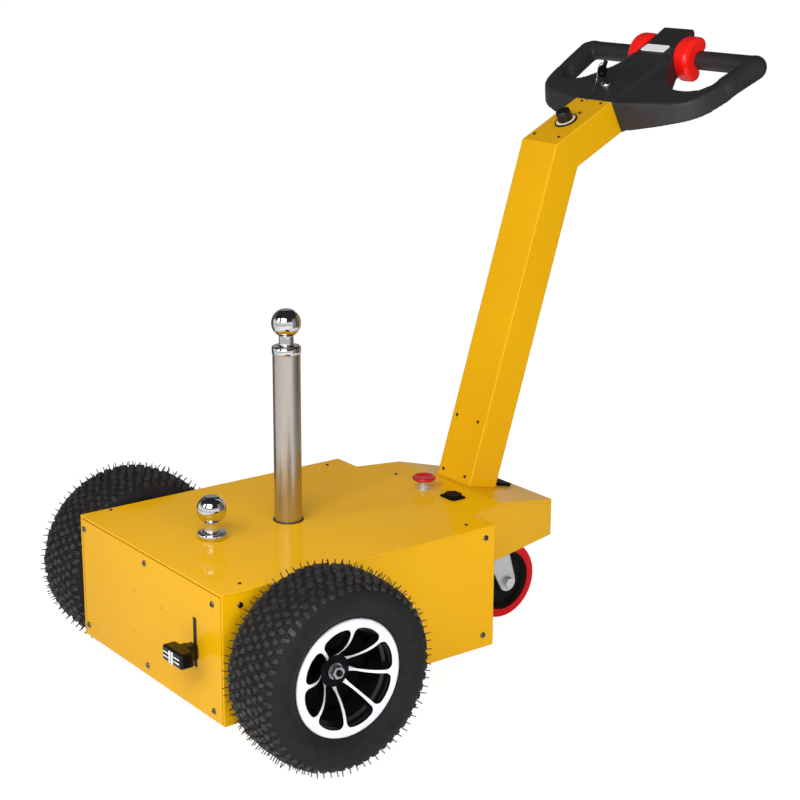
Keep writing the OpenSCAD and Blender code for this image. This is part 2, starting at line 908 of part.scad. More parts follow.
module castor_bolt() {
  outer = fork_in + 2 * leg_t + 2 * fit_gap;
  color(zinc) placed() translate([castor_axle[0], 0, castor_axle[1]]) rotate([90, 0, 0]) {
    cylinder(d = castor_bolt_d, h = outer + 2 * head_t, center = true);
    for (side = [-1, 1])
      translate([0, 0, side * (outer + head_t) / 2])
        cylinder(d = head_d, h = head_t, center = true, $fn = 6);
  }
}

// Castor wheel: a core dished on both sides, and the tread round it
core_d = castor_d - 2 * castor_tread_t - 2 * fit_gap;
core_hub_d = 38;
core_rim = 11;
core_dish = 8;

module at_castor() {
  placed() translate([castor_axle[0], 0, castor_axle[1]]) rotate([90, 0, 0]) children();
}

module ring(d, bore_d, h) {
  difference() {
    cylinder(d = d, h = h, center = true);
    cylinder(d = bore_d, h = 2 * h, center = true);
  }
}

module castor_core() {
  color(plastic_black) at_castor() difference() {
    ring(core_d, castor_bolt_d + 2 * run_gap, castor_w);
    for (side = [-1, 1])
      translate([0, 0, side * castor_w / 2]) ring(core_d - 2 * core_rim, core_hub_d, 2 * core_dish);
  }
}

module castor_tread() {
  color(signal_red) at_castor() ring(castor_d, castor_d - 2 * castor_tread_t, castor_w);
}

floor_plate();
front_panel();
left_side_panel();
right_side_panel();
rear_panel();
deck_plate();
nose_left_side();
nose_right_side();
nose_rear();
castor_shelf();
drive_unit();
battery_pack();
tow_ball_low();
tow_post();
tow_ball_high();
post_collar();
release_lever();
lever_grip();
stop_collar();
stop_button();
charge_socket();
nose_gauge();
column_foot();
column();
knob_bezel();
speed_knob();
tiller_head();
label_plate();
left_throttle();
right_throttle();
key_lock();
key();
left_tyre();
left_rim();
left_axle();
right_tyre();
right_rim();
right_axle();
castor_plate();
castor_fork();
castor_bolt();
castor_core();
castor_tread();
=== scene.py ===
"""Looks of an electric tow tractor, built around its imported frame.

Metres, in the frame of the solids: +X to the front, +Y to the left, +Z up, floor at z = 0.
"""

import json
import math
import random

import bmesh
import bpy
import numpy as np
from mathutils import Matrix, Vector

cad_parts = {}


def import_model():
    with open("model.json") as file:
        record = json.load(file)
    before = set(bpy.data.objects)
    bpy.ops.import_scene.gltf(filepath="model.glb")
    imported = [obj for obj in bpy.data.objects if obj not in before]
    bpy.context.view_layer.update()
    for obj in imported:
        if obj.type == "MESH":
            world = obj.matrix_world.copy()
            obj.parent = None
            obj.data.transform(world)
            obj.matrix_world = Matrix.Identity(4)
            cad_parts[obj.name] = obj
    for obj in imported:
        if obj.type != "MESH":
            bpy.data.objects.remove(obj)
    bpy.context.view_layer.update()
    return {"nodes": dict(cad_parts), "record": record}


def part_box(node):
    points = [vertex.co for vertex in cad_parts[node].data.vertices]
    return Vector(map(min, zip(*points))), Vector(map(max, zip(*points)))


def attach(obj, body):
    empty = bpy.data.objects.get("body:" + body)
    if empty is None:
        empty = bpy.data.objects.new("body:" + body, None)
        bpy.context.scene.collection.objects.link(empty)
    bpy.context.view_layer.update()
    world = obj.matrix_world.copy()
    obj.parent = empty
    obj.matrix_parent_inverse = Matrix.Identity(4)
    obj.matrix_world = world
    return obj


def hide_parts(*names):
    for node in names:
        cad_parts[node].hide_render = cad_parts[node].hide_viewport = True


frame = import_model()
NODES = frame["nodes"]
MM = 0.001
WORD = {1: "left", -1: "right"}


def centre(node):
    """Middle of a node's box."""
    low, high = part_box(node)
    return (low + high) / 2


def extent(node):
    """Size of a node's box."""
    low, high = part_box(node)
    return high - low


def shift(x, y, z):
    """Matrix of a move."""
    return Matrix.Translation((x, y, z))


def turn(degrees, axis):
    """Matrix of a turn about an axis."""
    return Matrix.Rotation(math.radians(degrees), 4, axis)


# Places that come from the frame
FRONT_X, BOX_HALF, DECK_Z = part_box("deck_plate")[1]

# Frame of the column's top face: x forward along it, z away from it, origin at its rear end
ARM_ANGLE = 27.3
COLUMN_DEPTH = 60 * MM
COLUMN_LOW, COLUMN_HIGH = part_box("column")
ARM_X = COLUMN_LOW.x + COLUMN_DEPTH * math.sin(math.radians(ARM_ANGLE))
ARM = shift(ARM_X, 0, COLUMN_HIGH.z) @ turn(ARM_ANGLE, "Y")

# Frame of the nose's sloped plate: x forward along it, z away from it, origin at its bend
NOSE_SLOPE = 13
NOSE_FLAT = 80 * MM
CREASE_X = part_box("left_side_panel")[0].x - NOSE_FLAT
SLOPE = shift(CREASE_X, 0, DECK_Z) @ turn(-NOSE_SLOPE, "Y")

# Frame of the column's front face: x down along it, z out of it, origin at its foot
COLUMN_LEAN = 17.3
COLUMN_SET = 10 * MM
FOOT_T = 2.5 * MM
COLUMN = SLOPE @ shift(-COLUMN_SET, 0, FOOT_T) @ turn(NOSE_SLOPE + 90 - COLUMN_LEAN, "Y")


# Shapes: each is a list of points and a list of faces

def in_mm(points):
    """Points whose values are given in mm."""
    return [tuple(v * MM for v in p) for p in points]


def polar(radius, angle):
    """Point (x, y) at an angle."""
    return radius * math.cos(angle), radius * math.sin(angle)


def merged(shapes):
    """One shape made of several."""
    points, faces = [], []
    for more_points, more_faces in shapes:
        base = len(points)
        points.extend(more_points)
        faces.extend([tuple(i + base for i in face) for face in more_faces])
    return points, faces


def moved(shape, matrix):
    """The shape in another frame."""
    points, faces = shape
    return [matrix @ Vector(p) for p in points], faces


def rings(rows, n, closed=False):
    """Faces between rows of n points that run round; closed joins the last row to the first."""
    starts = [k * n for k in range(rows)]
    nexts = starts[1:] + starts[:1] if closed else starts[1:]
    return [(a + i, a + (i + 1) % n, b + (i + 1) % n, b + i)
            for a, b in zip(starts, nexts) for i in range(n)]


def loft(outlines, base=True):
    """Skin over outlines that have as many points each, with a top and, if asked, a base."""
    n = len(outlines[0])
    points = [p for outline in outlines for p in outline]
    faces = rings(len(outlines), n)
    if base:
        faces.append(tuple(reversed(range(n))))
    faces.append(tuple(range(len(points) - n, len(points))))
    return points, faces


def sheet(lines):
    """Open sheet over lines that have as many points each."""
    n = len(lines[0])
    points = [p for line in lines for p in line]
    faces = [(k * n + j, k * n + j + 1, (k + 1) * n + j + 1, (k + 1) * n + j)
             for k in range(len(lines) - 1) for j in range(n - 1)]
    return points, faces


def lathe(profile, steps, closed=False):
    """Turns (radius, height) points about the z axis; a radius of 0 makes a pole."""
    points, rows = [], []
    for radius, height in profile:
        if radius < 1e-9:
            rows.append([len(points)] * steps)
            points.append((0, 0, height))
            continue
        rows.append(list(range(len(points), len(points) + steps)))
        points += [(*polar(radius, 2 * math.pi * i / steps), height) for i in range(steps)]
    faces = []
    for low, high in zip(rows, rows[1:] + rows[:1] if closed else rows[1:]):
        for i in range(steps):
            j = (i + 1) % steps
            face = tuple(dict.fromkeys((low[i], low[j], high[j], high[i])))
            if len(face) > 2:
                faces.append(face)
    return points, faces


def prism(outline, low, high):
    """Extrudes an (x, y) outline from one height to another."""
    return loft([[(x, y, z) for x, y in outline] for z in (low, high)])


def block(low, high):
    """Box between two corners."""
    (x0, y0, z0), (x1, y1, z1) = low, high
    return prism([(x0, y0), (x1, y0), (x1, y1), (x0, y1)], z0, z1)


def tube(path, radius, sides, taper=1.0, ring=False):
    """Sweeps a circle along a path; taper is the last radius as a share of the first."""
    path = [Vector(p) for p in path]
    n = len(path)
    angles = [2 * math.pi * i / sides for i in range(sides)]
    rows = []
    side = None
    for k, p in enumerate(path):
        ahead = path[(k + 1) % n] if ring else path[min(k + 1, n - 1)]
        behind = path[(k - 1) % n] if ring else path[max(k - 1, 0)]
        along = (ahead - behind).normalized()
        if side is None:
            side = along.orthogonal().normalized()
        side = (side - along * side.dot(along)).normalized()
        up = along.cross(side)
        size = radius * (1 + (taper - 1) * k / max(1, n - 1))
        rows.append([p + size * (math.cos(a) * side + math.sin(a) * up) for a in angles])
    if ring:
        return [p for row in rows for p in row], rings(n, sides, closed=True)
    return loft(rows)


def arc(cx, cy, radius, start, end, steps):
    """Points of an arc, angles in degrees."""
    angles = [math.radians(start + (end - start) * i / steps) for i in range(steps + 1)]
    return [(cx + radius * math.cos(a), cy + radius * math.sin(a)) for a in angles]


def rounded(length, width, radius, steps=6):
    """Outline of a rectangle with round corners, about the origin."""
    x, y = length / 2 - radius, width / 2 - radius
    corners = ((x, y), (-x, y), (-x, -y), (x, -y))
    return [p for k, at in enumerate(corners)
            for p in arc(*at, radius, 90 * k, 90 * k + 90, steps)]


def spline(points, steps):
    """Smooth curve through points of any dimension, with even steps between each two."""
    rows = [np.array(p, float) for p in points]
    rows = [2 * rows[0] - rows[1]] + rows + [2 * rows[-1] - rows[-2]]
    curve = []
    for a, b, c, d in zip(rows, rows[1:], rows[2:], rows[3:]):
        for i in range(steps):
            t = i / steps
            curve.append(0.5 * (2 * b + (c - a) * t + (2 * a - 5 * b + 4 * c - d) * t ** 2
                                + (3 * b - a - 3 * c + d) * t ** 3))
    return [tuple(p) for p in curve + [rows[-2]]]


# Objects

def new_object(name, data):
    """Object in the scene."""
    obj = bpy.data.objects.new(name, data)
    bpy.context.scene.collection.objects.link(obj)
    return obj


def new_mesh(name, shape, material):
    """Mesh of a shape."""
    points, faces = shape
    mesh = bpy.data.meshes.new(name)
    mesh.from_pydata([tuple(p) for p in points], [], faces)
    mesh.materials.append(material)
    return mesh


def piece(name, shape, material, replaces=(), sharp=40, body="chassis"):
    """Makes a shape into an object that rides on a body."""
    mesh = new_mesh(name, shape, material)
    sealed = bmesh.new()
    sealed.from_mesh(mesh)
    bmesh.ops.recalc_face_normals(sealed, faces=sealed.faces)
    sealed.to_mesh(mesh)
    sealed.free()
    mesh.shade_smooth()
    mesh.set_sharp_from_angle(angle=math.radians(sharp))
    obj = new_object(name, mesh)
    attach(obj, body)
    if replaces:
        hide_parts(*replaces)
    return obj


def bevelled(obj, width, segments=4, angle=40):
    """Rounds a piece's edges."""
    bevel = obj.modifiers.new("bevel", "BEVEL")
    bevel.width = width
    bevel.segments = segments
    bevel.limit_method = "ANGLE"
    bevel.angle_limit = math.radians(angle)
    bevel.harden_normals = True


# Materials

def linear(hex_colour):
    """Linear colour of a hex one."""
    values = [int(hex_colour[i:i + 2], 16) / 255 for i in (1, 3, 5)]
    return [v / 12.92 if v <= 0.04045 else ((v + 0.055) / 1.055) ** 2.4 for v in values] + [1]


def feed(tree, node, inputs):
    """Gives inputs of a node fixed values or links from other nodes."""
    for key, value in inputs.items():
        if isinstance(value, bpy.types.NodeSocket):
            tree.links.new(value, node.inputs[key])
        else:
            node.inputs[key].default_value = value


def add_node(tree, kind, inputs, **settings):
    """New node with its settings and inputs."""
    node = tree.nodes.new("ShaderNode" + kind)
    for key, value in settings.items():
        setattr(node, key, value)
    feed(tree, node, inputs)
    return node


def emptied(owner):
    """Node tree of a new material or world, without nodes."""
    owner.use_nodes = True
    owner.node_tree.nodes.clear()
    return owner.node_tree


def new_material(name, kind):
    """New material with one shader."""
    mat = bpy.data.materials.new(name)
    tree = emptied(mat)
    shader = add_node(tree, kind, {})
    add_node(tree, "OutputMaterial", {"Surface": shader.outputs[0]})
    return mat, tree, shader


def object_coords(tree):
    """Coordinates of the object."""
    return add_node(tree, "TexCoord", {}).outputs["Object"]


def noise(tree, coords, scale, detail=3.0, stretch=None):
    """Noise value at a scale in cycles per metre, stretched along an axis if asked."""
    if stretch:
        coords = add_node(tree, "Mapping", {"Vector": coords, "Scale": stretch}).outputs["Vector"]
    inputs = {"Vector": coords, "Scale": scale, "Detail": detail}
    return add_node(tree, "TexNoise", inputs).outputs["Fac"]


def spread(tree, value, low, high, start=0.3, end=0.7):
    """Maps a value, such as a noise's, onto a range."""
    inputs = {"Value": value, "From Min": start, "From Max": end, "To Min": low, "To Max": high}
    return add_node(tree, "MapRange", inputs).outputs["Result"]


def mixed(tree, value, first, second):
    """Mixes two colours, each fixed or from another node, by a value."""
    return add_node(tree, "Mix", {0: value, 6: first, 7: second}, data_type="RGBA").outputs[2]


def rounded_normal(tree, radius):
    """Normal of edges rounded to a radius."""
    return add_node(tree, "Bevel", {"Radius": radius}, samples=8).outputs["Normal"]


def painted_highlight_share(tree, normal):
    """Value that rises from 0 on flat faces to 1 along rounded edges: the mask of a painted edge
    highlight.
    """
    flat = add_node(tree, "NewGeometry", {}).outputs["Normal"]
    dot = add_node(tree, "VectorMath", {0: normal, 1: flat}, operation="DOT_PRODUCT")
    return spread(tree, dot.outputs["Value"], 1, 0, 0.8, 0.99)


def bumped(tree, value, strength, depth, normal):
    """Normal of a bump from a value, over another normal if there is one."""
    inputs = {"Height": value, "Strength": strength, "Distance": depth}
    if normal:
        inputs["Normal"] = normal
    return add_node(tree, "Bump", inputs).outputs["Normal"]


def finish(name, colour, shade, rough, rough_by=0.06, metal=0.0, mottle=18.0, grain=900.0,
           strength=0.05, depth=0.2 * MM, stretch=None, coat=0.0, coat_rough=0.05, edge=0.0,
           specular=0.5, edge_highlight_colour=None):
    """Colour mottled between two tones, roughness that wanders, fine grain and rounded edges, with a
    lighter colour painted along those edges as a highlight if asked.
    """
    mat, tree, shader = new_material(name, "BsdfPrincipled")
    coords = object_coords(tree)
    patches = spread(tree, noise(tree, coords, mottle), 0, 1)
    tone = mixed(tree, patches, linear(colour), linear(shade))
    normal = rounded_normal(tree, edge) if edge else None
    # painted highlight: a lighter colour mixed in along rounded edges, where bent paint would catch the
    # light
    if edge_highlight_colour:
        tone = mixed(tree, painted_highlight_share(tree, normal), tone, linear(edge_highlight_colour))
    wander = spread(tree, noise(tree, coords, mottle * 3), rough - rough_by, rough + rough_by)
    fine = noise(tree, coords, grain, 2.0, stretch)
    feed(tree, shader, {
        "Base Color": tone, "Roughness": wander, "Metallic": metal, "Coat Weight": coat,
        "Coat Roughness": coat_rough, "Specular IOR Level": specular,
        "Normal": bumped(tree, fine, strength, depth, normal),
    })
    return mat


COAT = {"rough_by": 0.05, "mottle": 5, "grain": 420, "depth": 0.1 * MM}

YELLOW = finish("yellow_powder_coat", "#e9af08", "#e5aa06", 0.36, coat=0.26, coat_rough=0.04,
                edge=1.6 * MM, specular=0.03, **COAT)
# Column paint: the box's yellow darkened as painted shade, with a lighter yellow along its rounded edges
# as painted highlight
SHADED_COLUMN_YELLOW = finish("column_coat_painted_shade_and_highlight", "#e3aa09", "#dfa607", 0.36, coat=0.2, coat_rough=0.08,
                       edge=3.5 * MM, specular=0.05, edge_highlight_colour="#f8c62e", **COAT)
# painted shade: the foot plate is the box's yellow darkened so it reads as a shade line round the
# column's foot
SHADED_FOOT_YELLOW = finish("foot_plate_painted_shade", "#cb9608", "#c79206", 0.4, coat=0.1, specular=0.03, **COAT)
CHROME = finish("polished_chrome", "#d9d9dc", "#c9c9ce", 0.05, 0.02, metal=1, mottle=30,
                strength=0.01)
POST = finish("brushed_post_steel", "#c4bdb5", "#bbb4ac", 0.3, 0.02, metal=1, mottle=12,
              stretch=(1, 1, 0.02), strength=0.01, depth=0.02 * MM)
PLASTIC = finish("moulded_black_plastic", "#29292d", "#302e2f", 0.52, mottle=14, grain=1600,
                 strength=0.16, depth=0.15 * MM, specular=0.4)
GLOSS_BLACK = finish("gloss_black_plastic", "#151517", "#1c1b1c", 0.28, mottle=40, strength=0.06,
                     edge=0.6 * MM)
RED = finish("signal_red_plastic", "#ff1a14", "#fb160f", 0.32, 0.05, mottle=30, grain=1400,
             depth=0.1 * MM, coat=0.25, specular=0.3)
WHITE = finish("white_plate", "#ffffff", "#fbfbfb", 0.4, 0.05, mottle=60, strength=0.04,
               edge=0.5 * MM)
ZINC = finish("bright_zinc", "#b9bcc0", "#9fa4a8", 0.34, 0.09, metal=1, mottle=60, grain=500,
              strength=0.08, edge=0.8 * MM)
RUBBER = finish("tyre_rubber", "#181719", "#1e1c1e", 0.7, 0.08, mottle=40, grain=1500,
                strength=0.25, specular=0.24)
# painted highlight: the knobs' rubber is lighter than the carcass's so that their tops look lit
HIGHLIT_KNOB_RUBBER = finish("knob_rubber_painted_highlight", "#1d1b1b", "#302d2b", 0.55, 0.12, mottle=70, grain=1500,
                     strength=0.3, depth=0.25 * MM, specular=0.4)
HAIR = finish("rubber_hair", "#1a1918", "#26231f", 0.6, 0.05, mottle=200)
ALLOY = finish("machined_alloy", "#f6f6fb", "#ececf3", 0.36, metal=0.35, mottle=50, grain=1200)
RIM_BLACK = finish("rim_black_enamel", "#0b0a0c", "#111012", 0.4, mottle=50, specular=0.05)
BARREL_BLACK = finish("rim_barrel_gloss", "#0d0b0e", "#131114", 0.2, 0.05, mottle=50,
                      strength=0.04, specular=0.4)
CASTOR_BLACK = finish("castor_core_black", "#120f0f", "#181514", 0.5, mottle=60, strength=0.12,
                      specular=0.08)
TREAD = finish("red_castor_tread", "#e0141c", "#d61019", 0.42, mottle=40, grain=1200,
               strength=0.08, specular=0.15)
STOP_RED = finish("stop_button_red", "#c01322", "#b4101e", 0.3, 0.05, mottle=30, coat=0.3,
                  specular=0.3)
MATTE_BLACK = finish("matte_black_fitting", "#0e0c0c", "#141111", 0.6, mottle=60, strength=0.1,
                     specular=0.1)
RING_STEEL = finish("knob_ring_steel", "#f4e7c0", "#ecdcae", 0.4, 0.05, mottle=60, strength=0.04)
FORK_ZINC = finish("fork_zinc_plate", "#d6d9dd", "#c6cace", 0.42, metal=0.7, mottle=60, grain=500,
                   strength=0.06, edge=0.8 * MM)
LEVER_BLACK = finish("lever_gloss_black", "#0b0909", "#110e0e", 0.24, 0.04, mottle=40,
                     strength=0.02, specular=0.25, edge=0.6 * MM)
BATTERY = finish("battery_case", "#303236", "#3a3b3e", 0.55, strength=0.15, edge=1 * MM)
IRON = finish("cast_drive_iron", "#505459", "#45484c", 0.55, 0.1, metal=0.8, grain=300,
              strength=0.4, edge=1 * MM)
SCREW = finish("screw_steel", "#7d7872", "#5f5a55", 0.24, metal=1, mottle=120)
DARK_YELLOW = finish("shaded_yellow", "#b98a14", "#b08010", 0.45, 0.05, mottle=120)
DARK_SCREW = finish("dark_screw", "#3a2a12", "#2a1d0c", 0.4, mottle=120)
# painted shade: near-black colour for pieces put where a slot or a screw's socket lies in shade
PAINTED_SHADE = finish("painted_shade_dark", "#140d08", "#1c120a", 0.8, 0.05, strength=0.1)

SLOT_FINISH = {
    "yellow_paint": YELLOW, "chrome": CHROME, "post_steel": POST, "black_plastic": PLASTIC,
    "red_plastic": RED, "white_plate": WHITE, "zinc_steel": ZINC, "tyre_rubber": RUBBER,
    "rim_alloy": ALLOY, "castor_black": CASTOR_BLACK, "red_tread": TREAD,
    "battery_case": BATTERY, "drive_iron": IRON,
}
NODE_FINISH = {
    "column": SHADED_COLUMN_YELLOW, "column_foot": SHADED_FOOT_YELLOW, "nose_gauge": MATTE_BLACK,
    "castor_bolt": CHROME, "castor_fork": FORK_ZINC, "release_lever": LEVER_BLACK,
}


def dress_nodes():
    """Gives every solid its own finish or that of its slot."""
    for entry in frame["record"]["subparts"]:
        mesh = NODES[entry["node"]].data
        mesh.materials.clear()
        mesh.materials.append(NODE_FINISH.get(entry["node"], SLOT_FINISH[entry["material_slot"]]))


# Drive wheels: knobby tyre with moulding hairs, dished rim, axle nut

TYRE_R = extent("left_tyre").z / 2
TYRE_HALF = extent("left_tyre").y / 2
RIM_R = extent("left_rim").z / 2
FACE_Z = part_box("left_rim")[1].y - centre("left_tyre").y
BACK_Z = -FACE_Z
BEAD_R = RIM_R - 16 * MM
KNOB_H = 5 * MM

# Half of the tyre's section, from crown to rim: shares of its height and of its half width
SECTION = [(1, 0), (0.985, 0.39), (0.94, 0.71), (0.84, 0.885), (0.67, 0.975), (0.46, 1),
           (0.25, 0.94), (0.08, 0.82), (-0.02, 0.75)]


def wheel_frame(side):
    """Frame of a drive wheel: x forward, y up, z outwards along the axle."""
    axes = Matrix(((1, 0, 0), (0, 0, side), (0, 1, 0))).to_4x4()
    return Matrix.Translation(centre(WORD[side] + "_tyre")) @ axes


def wheel_piece(side, name, shape, material, replaces=None, sharp=40):
    """Piece of one drive wheel, from a shape in the wheel's frame."""
    word = WORD[side] + "_"
    nodes = [word + replaces] if replaces else ()
    return piece(word + name, moved(shape, wheel_frame(side)), material, nodes, sharp,
                 word + "wheel")


def section_line():
    """Dense points (radius, width) of half the tyre's section, from its crown to the rim."""
    steps = 8
    tall = TYRE_R - KNOB_H - RIM_R
    high, wide = SECTION[1]
    rows = spline([(high, -wide)] + SECTION, steps)[steps:]
    return [(RIM_R + high * tall, wide * TYRE_HALF) for high, wide in rows]


SECTION_LINE = section_line()


def section(along):
    """Point and outward normal of the section at a distance along it from its crown."""
    left = abs(along)
    for (r0, w0), (r1, w1) in zip(SECTION_LINE, SECTION_LINE[1:]):
        step = math.hypot(r1 - r0, w1 - w0)
        if left <= step:
            break
        left -= step
    share = left / step
    sign = math.copysign(1, along)
    point = Vector((r0 + (r1 - r0) * share, sign * (w0 + (w1 - w0) * share)))
    return point, Vector(((w1 - w0) / step, sign * (r0 - r1) / step))


def carcass():
    """Tyre without its knobs, between the rim's flanges."""
    inner = BEAD_R + 1 * MM
    bead = SECTION_LINE[-1][1]
    profile = SECTION_LINE[::-1] + [(r, -w) for r, w in SECTION_LINE[1:]]
    return lathe(profile + [(inner, -bead), (inner, bead)], 144, closed=True)


def tread_frame(along, angle):
    """Place on the tyre's skin, with its directions out, across and around."""
    point, normal = section(along)
    radial = Vector((math.cos(angle), math.sin(angle), 0))
    around = Vector((-math.sin(angle), math.cos(angle), 0))
    out = radial * normal.x + Vector((0, 0, normal.y))
    return radial * point.x + Vector((0, 0, point.y)), out, out.cross(around), around


# Rows of knobs: distance along the section, length, width, height, share of a pitch ahead
KNOB_ROWS = [
    (0, 10.5, 11, 4.6, 0.0), (14, 11, 10, 4.6, 0.5), (28, 10.5, 11, 4.6, 0.0),
    (41, 11, 10, 4.2, 0.5), (53, 12, 9, 2.6, 0.0),
]
KNOBS_ROUND = 56
KNOB_JITTER = 1.5 * MM
KNOB_SIZES = (0.75, 1.15)
KNOB_HEIGHTS = (0.7, 1.05)
KNOB_SLANTS = (-0.35, 0.35)
KNOB_ROOT = 1.5 * MM
KNOB_CORNER = 0.26

# Rows of hairs: distance along the section, share of a pitch ahead, length
HAIR_ROWS = [(0, 0.0, 13.5), (27, 0.5, 13), (51, 0.0, 11)]
HAIRS_ROUND = 76
HAIR_LENGTHS = (0.86, 1.12)
HAIR_LEANS_AROUND = (-0.35, 0.35)
HAIR_LEANS_ACROSS = (-0.25, 0.25)
HAIR_R = 1 * MM
HAIR_ROOT = 1 * MM
FLOOR_GAP = 1 * MM
TYRE_SEED = 7


def knob(along, angle, size, height, slant):
    """Block on the tyre, a little slanted: its size is along the section and along the tread."""
    base, out, across, around = tread_frame(along, angle)
    levels = ((-KNOB_ROOT, 1.0), (0.7 * height, 0.92), (0.94 * height, 0.84), (height, 0.66))
    outline = rounded(*size, KNOB_CORNER * min(size), 2)
    return loft([[base + out * level + (across * x + around * (y + slant * x)) * share
                  for x, y in outline] for level, share in levels], base=False)


def places_round(row, ahead, count):
    """Distance along the section and angle round the tyre of each place in a row, on both halves."""
    for side in ((1,) if row == 0 else (1, -1)):
        for i in range(count):
            yield side * row * MM, 2 * math.pi * (i + ahead) / count


def worn_knob(along, angle, row, rng):
    """Knob whose place, size and slant wander a little."""
    along += rng.uniform(-1, 1) * KNOB_JITTER
    angle += rng.uniform(-1, 1) * KNOB_JITTER / TYRE_R
    size = (row[1] * MM * rng.uniform(*KNOB_SIZES), row[2] * MM * rng.uniform(*KNOB_SIZES))
    height = row[3] * MM * rng.uniform(*KNOB_HEIGHTS)
    return knob(along, angle, size, height, rng.uniform(*KNOB_SLANTS))


def hair(along, angle, usual, rng):
    """Thin moulding hair that stands on the tread."""
    angle += rng.uniform(-1, 1) * KNOB_JITTER / TYRE_R
    base, out, across, around = tread_frame(along, angle)
    root = base - out * HAIR_ROOT
    lean = around * rng.uniform(*HAIR_LEANS_AROUND) + across * rng.uniform(*HAIR_LEANS_ACROSS)
    length = usual * MM * rng.uniform(*HAIR_LENGTHS)
    path = [root, root + out * length * 0.55 + lean * length * 0.15,
            root + out * length + lean * length * 0.5]
    return tube(path, HAIR_R, 5, 0.75)


def tyre(side):
    """Tyre of one side: carcass, knobs, and hairs where they clear the floor."""
    place = wheel_frame(side)
    rng = random.Random(TYRE_SEED + side)
    knobs = [worn_knob(*spot, row, rng) for row in KNOB_ROWS
             for spot in places_round(row[0], row[4], KNOBS_ROUND)]
    hairs = [hair(*spot, row[2], rng) for row in HAIR_ROWS
             for spot in places_round(row[0], row[1], HAIRS_ROUND)]
    hairs = [strand for strand in hairs if min((place @ p).z for p in strand[0]) > FLOOR_GAP]
    wheel_piece(side, "tyre_carcass", carcass(), RUBBER, "tyre", sharp=38)
    wheel_piece(side, "tyre_knobs", merged(knobs), HIGHLIT_KNOB_RUBBER, sharp=38)
    wheel_piece(side, "tyre_hairs", merged(hairs), HAIR, sharp=60)


SPOKES = 8
SPOKE_PHASE = math.radians(5.5)
SPOKE_HALF = 2.65 * MM
SPOKE_SLIM = 0.62
SPOKE_DEPTH = 13 * MM
SPOKE_STEPS = 22
SPOKE_COLUMNS = 10
HUB_R = 25 * MM
HUB_FLARE = 2.2 * MM
HUB_FLARE_L = 9 * MM
HUB_DEEPER = 5 * MM
HUB_DEEPER_ROWS = 8
RING_IN = 0.865 * RIM_R
RING_STEPS = 4
RIM_LIP = 2.5 * MM
WINDOW_CORNER = 11 * MM
WINDOW_BULGE = 1.2 * MM
CORNER_STEPS = 8
BULGE_STEPS = 5
DISH = 36 * MM
DISH_POWER = 2.1
HUB_Z = FACE_Z - DISH
BARREL_R = BEAD_R - 5 * MM
WELD_GAP = 0.01 * MM


def dish_z(radius):
    """Height of the rim's face: level at the ring, steep at the hub."""
    share = min(1, max(0, (RING_IN - radius) / (RING_IN - HUB_R)))
    return FACE_Z - DISH * share ** DISH_POWER


def spoke_rows():
    """Radius and half angle of the face's rows, from the hub out to the ring."""
    rows = []
    for i in range(SPOKE_STEPS + 1):
        share = i / SPOKE_STEPS
        radius = HUB_R + (RING_IN - WINDOW_CORNER - HUB_R) * share
        flare = HUB_FLARE * max(0, 1 - (radius - HUB_R) / HUB_FLARE_L) ** 2
        half = SPOKE_HALF * (SPOKE_SLIM + (1 - SPOKE_SLIM) * share) + flare
        rows.append((radius, math.asin(half / radius)))
    for i in range(1, CORNER_STEPS + 1):
        angle = math.pi / 2 * i / CORNER_STEPS
        radius = RING_IN - WINDOW_BULGE - WINDOW_CORNER * (1 - math.sin(angle))
        half = SPOKE_HALF + WINDOW_CORNER * (1 - math.cos(angle))
        rows.append((radius, math.asin(half / radius)))
    last, full = rows[-1][1], math.pi / SPOKES
    for i in range(1, BULGE_STEPS + 1):
        share = i / BULGE_STEPS
        rows.append((RING_IN - WINDOW_BULGE * (1 - share) ** 2, last + (full - last) * share))
    return rows


def ring_rows():
    """Radius and height of the ring's rows, out to its rounded lip."""
    flat = RIM_R - RIM_LIP - RING_IN
    rows = [(RING_IN + flat * i / RING_STEPS, FACE_Z) for i in range(1, RING_STEPS + 1)]
    return rows + arc(RIM_R - RIM_LIP, FACE_Z - RIM_LIP, RIM_LIP, 67.5, 0, 3)


def sector(rows, middle):
    """Lines of points across one spoke's sector, from rows of radius, half angle and height."""
    shares = [2 * j / SPOKE_COLUMNS - 1 for j in range(SPOKE_COLUMNS + 1)]
    return [[(*polar(radius, middle + half * share), height) for share in shares]
            for radius, half, height in rows]


def spoke_walls(top):
    """Both sides and the underside of a spoke, deeper at the hub."""
    under = []
    for i, line in enumerate(top):
        depth = SPOKE_DEPTH + HUB_DEEPER * max(0, 1 - i / HUB_DEEPER_ROWS)
        under.append([(x, y, z - depth) for x, y, z in line])
    sides = [sheet([[line[edge] for line in lines] for lines in (top, under)]) for edge in (0, -1)]
    return sides + [sheet(under)]


def barrel():
    """Barrel between the rim's flanges, with a step inside."""
    under_z = FACE_Z - SPOKE_DEPTH
    step_r = BARREL_R - 3 * MM
    return lathe([
        (RING_IN, under_z), (BARREL_R, under_z - 4 * MM), (BARREL_R, 12 * MM), (step_r, 8 * MM),
        (step_r, -8 * MM), (BARREL_R, -12 * MM), (BARREL_R, BACK_Z), (RIM_R, BACK_Z),
        (RIM_R, BACK_Z + 5 * MM), (BEAD_R, BACK_Z + 6 * MM), (BEAD_R, FACE_Z - 6 * MM),
        (RIM_R, FACE_Z - 5 * MM), (RIM_R, FACE_Z - 3 * MM),
    ], 96)


